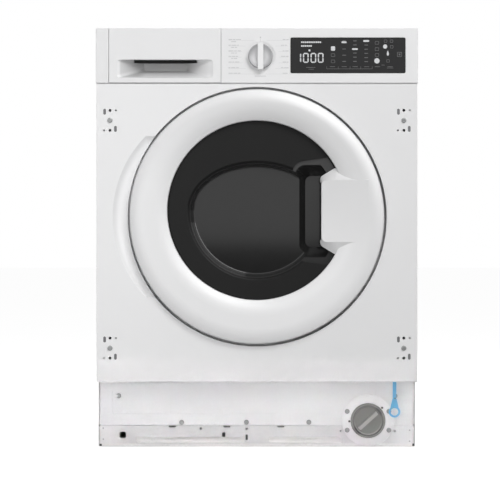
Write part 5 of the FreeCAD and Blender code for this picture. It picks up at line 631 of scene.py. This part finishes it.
print("a drop has", len(drop(0, 0, 1, 1)), "corners")

# %% [markdown]
# ## Digits
# Seven bars make every figure. The time on the panel is ten hours: a one and three noughts. Text could be
# set in a font, but pointed bars are what such a panel really lights.

# %% Seven-bar digits
DIGIT_W, DIGIT_H, DIGIT_T = 10.6, 18.4, 2.3
DIGIT_SPLIT = 0.15
LIT_BARS = {"0": "abcdef", "1": "bc"}


def digit(figure, x, z):
    """The lit bars of a figure about its middle, each a bar with pointed ends."""
    w, h, t = DIGIT_W - DIGIT_T, (DIGIT_H - DIGIT_T) / 2, DIGIT_T / 2
    spots = {"a": (0, h, 0), "b": (w / 2, h / 2, 1), "c": (w / 2, -h / 2, 1), "d": (0, -h, 0),
             "e": (-w / 2, -h / 2, 1), "f": (-w / 2, h / 2, 1)}
    outlines = []
    for key in LIT_BARS[figure]:
        dx, dz, upright = spots[key]
        long = (h if upright else w) / 2 - DIGIT_SPLIT
        ring = [(-long, 0), (-long + t, -t), (long - t, -t), (long, 0), (long - t, t), (-long + t, t)]
        if upright:
            ring = [(-b, a) for a, b in ring]
        outlines.append([(x + dx + a, z + dz + b) for a, b in ring])
    return outlines


print("a nought has", len(digit("0", 0, 0)), "bars")

# %% [markdown]
# ## What the touch panel shows
# The symbols stand in six columns. The chosen ones are lit; the others are printed in dark grey. One mesh
# for each symbol would only make more pieces, so all lit marks are one piece and all printed ones another.

# %% Lit symbols
lens_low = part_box("display_lens")[0]
LENS_X, LENS_Z = lens_low.x / MM, lens_low.z / MM
TIME = (("1", 14.6), ("0", 28.4), ("0", 42.3), ("0", 55.8))
TIME_UP = 28.3
CELL, CELL_ROUND, CELL_STEP = 2.9, 0.6, 3.4
CELL_ROWS = ((19.4, 60.0, 57.2), (19.4, 40.0, 50.3))
# across, up, width, height and corner; then across, up, width and height; then across, up and radius
LIT_SQUARES = ((35.1, 42.0, 3.6, 3.8, 1.2), (78.6, 45.6, 7.6, 8.2, 1.6))
LIT_PILLS = ((99.0, 57.2, 9.6, 3.6), (99.0, 58.8, 6.0, 1.4), (119.0, 44.5, 11.0, 3.2),
             (139.9, 59.5, 11.2, 3.4))
LIT_DISCS = ((159.7, 22.8, 4.9), (174.8, 49.2, 3.9))
LIT_DROP = (179.8, 36.9, 5.0, 9.2)


def on_lens(across, up):
    """A point given from the panel's lower left corner."""
    return LENS_X + across, LENS_Z + up


lit = []
for figure, across in TIME:
    lit += digit(figure, *on_lens(across, TIME_UP))
for start, end, up in CELL_ROWS:
    count = int((end - start) / CELL_STEP)
    lit += [soft_square(*on_lens(start + CELL_STEP * (i + 0.5), up), CELL, CELL, CELL_ROUND)
            for i in range(count)]
for form, spots in ((soft_square, LIT_SQUARES), (pill, LIT_PILLS), (disc, LIT_DISCS), (drop, [LIT_DROP])):
    lit += [form(*on_lens(across, up), *size) for across, up, *size in spots]
plates("panel_lit", lit, lens_low.y, glowing("lit_marks", (0.56, 0.57, 0.58), 0.22))

# %% [markdown]
# ## What is printed on the touch panel
# Unlit symbols stay visible as dark grey print: empty boxes for the large ones, short pills for the lists,
# and along the lower edge a rule with ticks and a bar for each heading.

# %% Printed symbols
BOX, BOX_LINE = (6.6, 5.2), 0.8
BOX_COLUMNS = ((78.6, (33.4, 21.8)), (159.7, (56.0, 44.5, 33.6)))
LIST_PILL = (6.8, 1.5)
LIST_COLUMNS = ((99.2, (44.6, 33.2, 21.8)), (119.0, (59.6, 52.2, 37.2, 29.6, 21.8)),
                (139.9, (51.9, 44.3, 36.6, 28.7, 21.4)))
SIGN = (5.0, 4.6)
SIGN_SPOTS = ((175.6, 59.2), (186.6, 59.2), (187.0, 48.6), (180.2, 22.6))
START_KEY, START_BOX, START_LINE, START_DOT = (201.4, 34.6), 8.0, 0.9, 3.2
TICKS, TICK = (67.0, 88.2, 110.0, 129.8, 151.0), (10.4, 0.7, 4.4)
HEADINGS, HEADING = (77.6, 99.2, 119.4, 140.4, 160.6, 184.0), (12.0, 9.5, 1.0)
# across, up, width and height
FOOT_BARS = [(37.5, 10.6, 17.0, 1.0), (38.5, 7.4, 10.0, 0.8), (109.0, 8.0, 84.0, 0.7)]
FOOT_BARS += [(across, *TICK) for across in TICKS] + [(across, *HEADING) for across in HEADINGS]
FOOT_BARS += [(171.0, 15.0, 6.0, 0.9), (184.0, 9.6, 12.0, 0.9)]

printed = []
for across, ups in BOX_COLUMNS:
    for up in ups:
        printed += frame_of(*on_lens(across, up), *BOX, BOX_LINE)
for across, ups in LIST_COLUMNS:
    printed += [pill(*on_lens(across, up), *LIST_PILL) for up in ups]
for across, up in SIGN_SPOTS:
    printed += frame_of(*on_lens(across, up), *SIGN, BOX_LINE)
printed += frame_of(*on_lens(*START_KEY), START_BOX, START_BOX, START_LINE)
printed.append(bar(*on_lens(*START_KEY), START_DOT, START_DOT))
printed += [bar(*on_lens(across, up), *size) for across, up, *size in FOOT_BARS]
plates("panel_printed", printed, lens_low.y, glowing("printed_marks", (0.10, 0.10, 0.102)))

# %% [markdown]
# ## Programme marks
# Beside the knob the programmes are printed in pale grey, a row for each stop, and fine leaders run
# from the rows to the knob. Rows of short bars give the same grey texture without any lettering.
# Each leader stops short of the knob's ring, so its length follows from a circle.

# %% Rows and leaders beside the knob
KNOB_X = knob_centre.x / MM
KNOB_Z = knob_centre.z / MM
ROW_RISES = (31.0, 20.5, 10.0, 0.0, -10.6, -21.0, -31.2)
LEADER_CLEAR, LEADER_GAP, LEADER_DROP, LEADER_LINE = 32.0, 3.0, 1.5, 0.3
LEFT_END, RIGHT_END = -59.0, 52.0
LEFT_STOPS, RIGHT_STARTS = (-36.0, -40.0), (41.0, 38.0)
TWO_LINE_ROWS, SECOND_IN, SECOND_STOP, SECOND_DROP = 4, 5.0, -43.0, 4.0
WORDS = (7.0, 4.5, 9.0, 5.5, 6.0, 3.5, 8.0)
WORD_GAP, WORD_H, WORD_LEAST = 1.2, 1.3, 2.5
# rise over the knob's middle, then radius, or width and height
OFF_DOT, OFF_LINE, UNDER_WORD = (35.0, 1.3), (30.4, 0.5, 6.0), (-36.6, 21.0, 1.2)


def row_of_words(start, end, z, first):
    """Bars of changing length from start to end."""
    bars = []
    x = start
    turn = first
    while x + WORD_LEAST < end:
        length = min(WORDS[turn % len(WORDS)], end - x)
        bars.append(bar(x + length / 2, z, length, WORD_H))
        x += length + WORD_GAP
        turn += 1
    return bars


leaders, words = [], []
for row, rise in enumerate(ROW_RISES):
    near = math.sqrt(max(LEADER_CLEAR ** 2 - rise ** 2, 0.0)) + LEADER_GAP
    z = KNOB_Z + rise
    leaders.append(bar(KNOB_X + (LEFT_END - near) / 2, z - LEADER_DROP, -LEFT_END - near, LEADER_LINE))
    leaders.append(bar(KNOB_X + (RIGHT_END + near) / 2, z - LEADER_DROP, RIGHT_END - near, LEADER_LINE))
    words += row_of_words(KNOB_X + LEFT_END, KNOB_X + LEFT_STOPS[row % 2], z, row)
    words += row_of_words(KNOB_X + RIGHT_STARTS[row % 2], KNOB_X + RIGHT_END, z, row + 3)
    if row < TWO_LINE_ROWS:
        words += row_of_words(KNOB_X + LEFT_END + SECOND_IN, KNOB_X + SECOND_STOP, z - SECOND_DROP, row + 2)
leaders.append(disc(KNOB_X, KNOB_Z + OFF_DOT[0], OFF_DOT[1], 16))
leaders.append(bar(KNOB_X, KNOB_Z + OFF_LINE[0], *OFF_LINE[1:]))
words.append(bar(KNOB_X, KNOB_Z + UNDER_WORD[0], *UNDER_WORD[1:]))
plates("programme_leaders", leaders, fascia_low.y, glowing("leader_ink", (0.60, 0.60, 0.61)))
plates("programme_rows", words, fascia_low.y, glowing("row_ink", (0.62, 0.62, 0.63)))

# %% [markdown]
# ## Painted shade under the drawer's lip
# Under the lip of the drawer's grip the undercut lies in deep shade, and a black bar with rounded edges is
# put there as painted shade. It could be swept along its length, but a box whose edges are bevelled in three
# steps is enough.


# %% A bar with rounded edges
def rounded_bar(name, low, high, edge, finish, body):
    """A block between two corners in millimetres with all its edges rounded."""
    bm = bmesh.new()
    bmesh.ops.create_cube(bm, size=1.0)
    for vert in bm.verts:
        vert.co = Vector([(low[i] if vert.co[i] < 0 else high[i]) * MM for i in range(3)])
    bmesh.ops.bevel(bm, geom=bm.edges[:], offset=edge * MM, segments=3, profile=0.5, affect="EDGES")
    mesh = bpy.data.meshes.new(name)
    bm.to_mesh(mesh)
    bm.free()
    mesh.shade_smooth()
    mesh.materials.append(finish)
    piece = stand(name, mesh)
    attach(piece, body)
    print(name, "is", [round(high[i] - low[i], 1) for i in range(3)], "mm")


UNDERCUT_X, UNDERCUT_Y = (-227.0, -110.5), (-236.0, -224.0)
UNDERCUT_UP, UNDERCUT_H, UNDERCUT_EDGE = 43.1, 4.8, 1.2
UNDERCUT_TOP = fascia_low.z / MM + UNDERCUT_UP
undercut_low = (UNDERCUT_X[0], UNDERCUT_Y[0], UNDERCUT_TOP - UNDERCUT_H)
undercut_high = (UNDERCUT_X[1], UNDERCUT_Y[1], UNDERCUT_TOP)
undercut_black = polished("undercut_black", (0.002, 0.002, 0.002), 0.6)
# painted shade: a black bar in the undercut under the lip
rounded_bar("drawer_undercut_shade", undercut_low, undercut_high, UNDERCUT_EDGE, undercut_black, "drawer")

# %% [markdown]
# ## The drum's holes
# Water leaves the drum through hundreds of small holes. In the steel they are punched in staggered rows, none
# of them under a lifter. A node group lays points row by row round the drum, drops the ones at the lifters
# and puts a small dark disc on each of the rest: painted shade for the dark inside of each hole. The pitch,
# the size and the number of rows are inputs, so the pattern can be changed without touching the nodes.

# %% Rows of holes round the drum
LIFTERS = 3.0
LIFTER_NEAR = 0.86
DISC_SIDES, DISC_TAPER = 10, 1.1


def hole_rows(settings, finish):
    """A mesh of small dark discs that face the drum's axis, painted shade for the holes."""
    tree = bpy.data.node_groups.new("hole_rows", "GeometryNodeTree")
    sockets = {}
    for label in settings:
        sockets[label] = tree.interface.new_socket(label, in_out="INPUT",
                                                   socket_type="NodeSocketFloat").identifier
    tree.interface.new_socket("Geometry", in_out="OUTPUT", socket_type="NodeSocketGeometry")
    entry = tree.nodes.new("NodeGroupInput")
    given = {label: Tap(tree, entry.outputs[label]) for label in settings}
    tap = Tap(tree)
    index = tap.add("GeometryNodeInputIndex")
    row = tap.math("FLOOR", index / given["Per row"], 0.0)
    column = index - row * given["Per row"]
    stagger = 0.5 * tap.math("MODULO", row, 2.0)
    angle = (column + stagger) * (2 * math.pi) / given["Per row"]
    across = tap.math("COSINE", angle, 0.0)
    up = tap.math("SINE", angle, 0.0)
    spot = tap.add("ShaderNodeCombineXYZ", {}, {"X": given["Radius"] * across,
                                               "Y": given["Front"] + row * given["Pitch"],
                                               "Z": given["Axis height"] + given["Radius"] * up})
    inward = tap.add("ShaderNodeCombineXYZ", {}, {"X": 0.0 - across, "Y": 0.0, "Z": 0.0 - up})
    points = tap.add("GeometryNodePoints", {}, {"Count": given["Rows"] * given["Per row"], "Position": spot})
    near = tap.math("COSINE", (angle - given["Lifter angle"]) * LIFTERS, 0.0)
    under = tap.math("GREATER_THAN", near, LIFTER_NEAR)
    kept = tap.add("GeometryNodeDeleteGeometry", {}, {"Geometry": points, "Selection": under})
    facing = tap.add("FunctionNodeAlignRotationToVector", {"axis": "Z"}, {"Vector": inward})
    # a dark disc of painted shade for each hole
    shade_disc = tap.add("GeometryNodeMeshCone", {"fill_type": "NGON"},
                   {"Vertices": DISC_SIDES, "Radius Top": given["Hole radius"],
                    "Radius Bottom": given["Hole radius"] * DISC_TAPER, "Depth": given["Hole depth"]},
                   output="Mesh")
    shade_discs = tap.add("GeometryNodeInstanceOnPoints", {},
                    {"Points": kept, "Instance": shade_disc, "Rotation": facing})
    real = tap.add("GeometryNodeRealizeInstances", {}, {"Geometry": shade_discs})
    painted = tap.add("GeometryNodeSetMaterial", {}, {"Geometry": real, "Material": finish})
    tree.links.new(painted.socket, tree.nodes.new("NodeGroupOutput").inputs["Geometry"])
    holder = stand("hole_rows", bpy.data.meshes.new("hole_rows"))
    modifier = holder.modifiers.new("rows", "NODES")
    modifier.node_group = tree
    for label, value in settings.items():
        modifier[sockets[label]] = value
    mesh = bpy.data.meshes.new_from_object(holder.evaluated_get(bpy.context.evaluated_depsgraph_get()))
    bpy.data.objects.remove(holder)
    return mesh


drum_low, drum_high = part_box("drum_shell")
DRUM_SHEET, DISC_PROUD = 1.5, 0.3
FIRST_ROW = 36.0
drum_r = (drum_high.x - drum_low.x) / 2
settings = {"Per row": 72.0, "Rows": 12.0, "Pitch": 0.0185, "Front": drum_low.y + FIRST_ROW * MM,
            "Radius": drum_r - (DRUM_SHEET - DISC_PROUD) * MM, "Hole radius": 0.0021, "Hole depth": 0.0009,
            "Axis height": (drum_low.z + drum_high.z) / 2, "Lifter angle": math.radians(-90)}
# painted shade: each hole is a black disc on the drum's wall, not a cut
holes = stand("drum_holes", hole_rows(settings, finishes["black_plastic"]))
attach(holes, "drum")
print("drum holes:", len(holes.data.polygons) // (DISC_SIDES + 2))

# %% [markdown]
# ## The rubber seal
# The bellows between the cabinet and the tub is moulded rubber: a bead that grips the panel's collar, a lip
# that leans on the bowl's glass, and a fold that lets the tub move. Cloth could bend like it, but a ring
# turned from one outline keeps its folds.


# %% Turn the seal's outline
def turned(name, outline, centre_z, sides):
    """A closed ring from an outline of (radius, depth) in millimetres, turned about the drum's axis."""
    verts, faces = [], []
    count = len(outline)
    for i in range(sides):
        t = 2 * math.pi * i / sides
        verts += [(r * MM * math.cos(t), y * MM, centre_z + r * MM * math.sin(t)) for r, y in outline]
    for i in range(sides):
        for j in range(count):
            a, b = i * count, (i + 1) % sides * count
            k = (j + 1) % count
            faces.append((a + j, b + j, b + k, a + k))
    mesh = bpy.data.meshes.new(name)
    mesh.from_pydata(verts, [], faces)
    bm = bmesh.new()
    bm.from_mesh(mesh)
    bmesh.ops.recalc_face_normals(bm, faces=bm.faces[:])
    bm.to_mesh(mesh)
    bm.free()
    mesh.shade_smooth()
    return mesh


def smooth_loop(corners, steps=4):
    """A closed Catmull-Rom curve through the corners."""
    loop = []
    count = len(corners)
    for i in range(count):
        a, b, c, d = (Vector(corners[(i + k) % count]) for k in (-1, 0, 1, 2))
        for step in range(steps):
            t = step / steps
            square, cube = 2 * a - 5 * b + 4 * c - d, 3 * b - 3 * c + d - a
            spot = 0.5 * (2 * b + (c - a) * t + square * t ** 2 + cube * t ** 3)
            loop.append((spot.x, spot.y))
    return loop


seal_low, seal_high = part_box("door_seal")
SEAL_R = (seal_high.x - seal_low.x) / 2 / MM
Y0, Y1 = seal_low.y / MM, seal_high.y / MM
# how far inside the rim each corner lies, and how far behind the front, or ahead of the rear when below 0
SEAL_CORNERS = ((6.6, 0.6), (6.4, 7.0), (6.4, 14.5), (0.8, 16.4), (0.8, 18.6), (7.2, 19.4), (7.4, 24.0),
                (6.2, 28.5), (6.6, -8.0), (6.0, -3.0), (8.0, -0.8), (11.2, -2.0), (10.8, -8.0), (9.4, 29.0),
                (11.4, 25.0), (10.4, 20.0), (11.6, 14.0), (9.6, 9.0), (11.4, 4.5), (9.0, 1.0))
SEAL_SIDES = 160
seal_outline = [(SEAL_R - inset, (Y0 if depth > 0 else Y1) + depth) for inset, depth in SEAL_CORNERS]
seal_z = (seal_low.z + seal_high.z) / 2
seal = stand("seal_bellows", turned("seal_bellows", smooth_loop(seal_outline), seal_z, SEAL_SIDES))
seal.data.materials.append(finishes["seal_rubber"])
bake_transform(seal)
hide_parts("door_seal")
print("seal has", len(seal.data.polygons), "faces")

# %% [markdown]
# ## Springs and hoses
# The tub hangs on two coil springs and is fed and drained through two rubber hoses. One end of each is held
# by the cabinet and the other goes with the tub, so their length changes at every bounce. A bone in the
# middle would do for a film; here each solid is only copied, the hoses split into their upper and lower
# share, and the copies take the place of the solids.


# %% Copy each one, the hoses split in two
def flexed(name, node, keep_above, finish):
    """A copy of a solid, or of its upper or lower share, with a finish of its own."""
    mesh = frame["nodes"][node].data.copy()
    mesh.name = name
    bm = bmesh.new()
    bm.from_mesh(mesh)
    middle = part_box(node)[0].lerp(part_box(node)[1], 0.5).z
    if keep_above is not None:
        other = [v for v in bm.verts if (v.co.z > middle) != keep_above]
        bmesh.ops.delete(bm, geom=other, context="VERTS")
    bm.to_mesh(mesh)
    bm.free()
    mesh.materials.clear()
    mesh.materials.append(finish)
    piece = stand(name, mesh)
    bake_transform(piece)
    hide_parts(node)


rubber, steel = finishes["seal_rubber"], finishes["spring_steel"]
flexed("flexing_springs", "suspension_springs", None, finish=steel)
flexed("flexing_sump_hose", "tub_hoses", False, finish=rubber)
flexed("flexing_soap_hose", "tub_hoses", True, finish=rubber)

# %% [markdown]
# ## Small marks on the plinth
# The rail is welded at its ends: two small pits on each side, whose shade is painted as grey discs. Two index
# marks on the filter's trim show where the cap locks, a small dark mark sits at each lower corner, and the
# pull tag has a dot. Pits and marks could be cut and moulded, but at a tenth of a millimetre plates of the
# right tone look the same.

# %% Pits, index marks, corner marks and the tag's dot
WELD_R, INDEX_R = 1.6, 2.1
WELDS = ((-287.5, 35.7), (-287.5, 15.1), (286.0, 31.9), (286.0, 11.3))
INDEX_SPOTS = ((172.9, 48.8), (234.4, 74.2))
CORNER_MARKS = ((-292.4, 4.4, 4.2, 4.0), (292.8, 4.6, 3.4, 4.8))
TAG_DOT = (258.0, 92.3, 1.5)
rail_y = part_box("plinth_rail")[0].y
bezel_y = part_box("filter_bezel")[0].y
tray_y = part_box("base_tray")[0].y
tag_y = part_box("release_tag")[0].y
pit_shade = glowing("pit_shade", (0.40, 0.40, 0.40))
near_black = glowing("near_black", (0.03, 0.03, 0.03))
# painted shade: grey discs for the shade in the weld pits
plates("weld_pits", [disc(x, z, WELD_R, 12) for x, z in WELDS], rail_y, pit_shade)
plates("index_marks", [disc(x, z, INDEX_R, 16) for x, z in INDEX_SPOTS], bezel_y, near_black)
# a small near-black mark at each lower corner
plates("corner_marks", [bar(*pad) for pad in CORNER_MARKS], tray_y, near_black)
plates("tag_dot", [disc(*TAG_DOT, 16)], tag_y, near_black, "tag")

# %% [markdown]
# ## Camera
# The picture is taken from straight in front, from far away, so the sides hardly show. A narrow lens
# at four metres gives the same drawing. An orthographic camera would hide that the plinth stands back.

# %% Camera
FRAME_SPAN = 0.924
CAMERA_AWAY = 3.9
CAMERA_ASIDE, CAMERA_DROP = -0.0128, 0.4097
front_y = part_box("front_panel")[0].y
camera_data = bpy.data.cameras.new("camera")
camera_data.angle = 2 * math.atan(FRAME_SPAN / 2 / CAMERA_AWAY)
camera = stand("camera", camera_data)
camera.location = (CAMERA_ASIDE, front_y - CAMERA_AWAY, fascia_high.z - CAMERA_DROP)
camera.rotation_euler = (math.radians(90), 0, 0)
scene.camera = camera
print("camera stands", CAMERA_AWAY, "m in front of the panel")

# %% [markdown]
# ## Lamps and surround
# The light is soft: a large key above to the right, a weaker fill from the left, a narrow low lamp for the
# plinth and an even pale surround. The surround is white to the camera and in mirrors, and dimmer as a
# light, so that the lamps still shape the machine.


# %% Lamps and surround
def soft_lamp(name, place_at, aim, width, height, power, spread=180.0):
    """A large flat lamp. Place and aim are in metres, power in watts, spread in degrees."""
    data = bpy.data.lights.new(name, "AREA")
    data.shape = "RECTANGLE"
    data.size = width
    data.size_y = height
    data.energy = power
    data.spread = math.radians(spread)
    lamp = stand(name, data)
    lamp.location = place_at
    lamp.rotation_euler = (Vector(aim) - Vector(place_at)).to_track_quat("-Z", "Y").to_euler()
    return lamp


MIDDLE = (0.0, -0.1, 0.45)
PLINTH = (0.0, -0.2, 0.04)
soft_lamp("key", (1.0, -2.6, 2.7), MIDDLE, 2.0, 1.4, 61.0)
soft_lamp("fill", (-1.1, -2.4, 0.45), MIDDLE, 1.4, 1.0, 13.0)
low_lamp = soft_lamp("low", (0.0, -2.6, 0.05), PLINTH, 1.2, 0.04, 0.15, 7.0)
low_lamp.data.specular_factor = 0.0
soft_lamp("back", (0.0, 2.6, 2.2), MIDDLE, 2.0, 1.2, 24.0)

AMBIENT = 0.32
world = bpy.data.worlds.new("surround")
scene.world = world
world.use_nodes = True
surround = Tap(world.node_tree)
seen, mirrored, passed = (surround.add("ShaderNodeLightPath", output="Is %s Ray" % ray)
                          for ray in ("Camera", "Glossy", "Transmission"))
shown = surround.math("MAXIMUM", surround.math("MAXIMUM", seen, mirrored), passed)
backdrop = world.node_tree.nodes["Background"]
backdrop.inputs["Color"].default_value = (1.0, 1.0, 1.0, 1.0)
feed(surround, backdrop, "Strength", AMBIENT + (1.0 - AMBIENT) * shown)
print("lamps:", len(bpy.data.lights))

# %% [markdown]
# ## Floor
# The machine stands on a pale floor that goes over into the white surround. A plain white sheet would turn
# grey in the distance, so the floor also glows, for the camera alone.

# %% Floor
FLOOR_REACH = 40.0


def floor_finish():
    """Pale floor: white to the camera, darker only where the machine shades it."""
    finish, shader, tap = new_finish("floor")
    seen_floor = tap.add("ShaderNodeLightPath", output="Is Camera Ray")
    shader.inputs["Base Color"].default_value = (0.62, 0.62, 0.62, 1.0)
    shader.inputs["Roughness"].default_value = 0.9
    shader.inputs["Specular IOR Level"].default_value = 0.0
    shader.inputs["Emission Strength"].default_value = 1.0
    glow = mixed(tap, seen_floor, (0.0, 0.0, 0.0, 1.0), (0.78, 0.78, 0.78, 1.0))
    feed(tap, shader, "Emission Color", glow)
    return finish


floor_mesh = bpy.data.meshes.new("floor")
floor_corners = [(FLOOR_REACH * sx, FLOOR_REACH * sy, 0) for sx, sy in ((-1, -1), (1, -1), (1, 1), (-1, 1))]
floor_mesh.from_pydata(floor_corners, [], [(0, 1, 2, 3)])
floor = stand("floor", floor_mesh)
floor.data.materials.append(floor_finish())
print("the floor reaches", FLOOR_REACH, "m each way")

# %% [markdown]
# ## What the window mirrors
# The polished window shows the room in front of it: dark below, as a studio's floor is, and a pale sheet of
# light at the upper right. Two cards that only show in reflections stand for both, so that they
# neither light nor shade the machine.


# %% Cards for the reflections
def mirror_card(name, corners, glow):
    """A card that only shows in reflections: black, or glowing."""
    mesh = bpy.data.meshes.new(name)
    mesh.from_pydata(corners, [], [(0, 1, 2, 3)])
    card = stand(name, mesh)
    finish, shader, _ = new_finish(name)
    shader.inputs["Base Color"].default_value = (0.01, 0.01, 0.01, 1.0)
    shader.inputs["Specular IOR Level"].default_value = 0.0
    shader.inputs["Emission Color"].default_value = (1.0, 1.0, 1.0, 1.0)
    shader.inputs["Emission Strength"].default_value = glow
    card.data.materials.append(finish)
    card.visible_camera = card.visible_diffuse = card.visible_shadow = card.visible_transmission = False


def off_door(aside, turn, away):
    """The point that lies so many degrees aside from the door's axis, turned up from the right."""
    a, t = math.radians(aside), math.radians(turn)
    out = away * math.sin(a)
    return (out * math.cos(t), front_y - away * math.cos(a), door_mid.z + out * math.sin(t))


CARD_HALF, CARD_BEHIND, CARD_RISE = 4.0, 1.4, 0.022
SIDE_CARD = ((36.0, 12.0), (82.0, 12.0), (82.0, 80.0), (36.0, 80.0))
SIDE_AWAY, SIDE_GLOW = 4.2, 3.5
card_y = front_y - CAMERA_AWAY - CARD_BEHIND
card_top = camera.location.z + CARD_RISE
mirror_card("low_card", [(-CARD_HALF, card_y, 0.0), (CARD_HALF, card_y, 0.0), (CARD_HALF, card_y, card_top),
                         (-CARD_HALF, card_y, card_top)], 0.0)
door_mid = (window_low + window_high) / 2
mirror_card("side_card", [off_door(aside, turn, SIDE_AWAY) for aside, turn in SIDE_CARD], SIDE_GLOW)
print("studio is set")

# %% [markdown]
# ## Closing
# The plain view transform keeps whites white.

# %% Close the lesson
scene.view_settings.view_transform = "Standard"
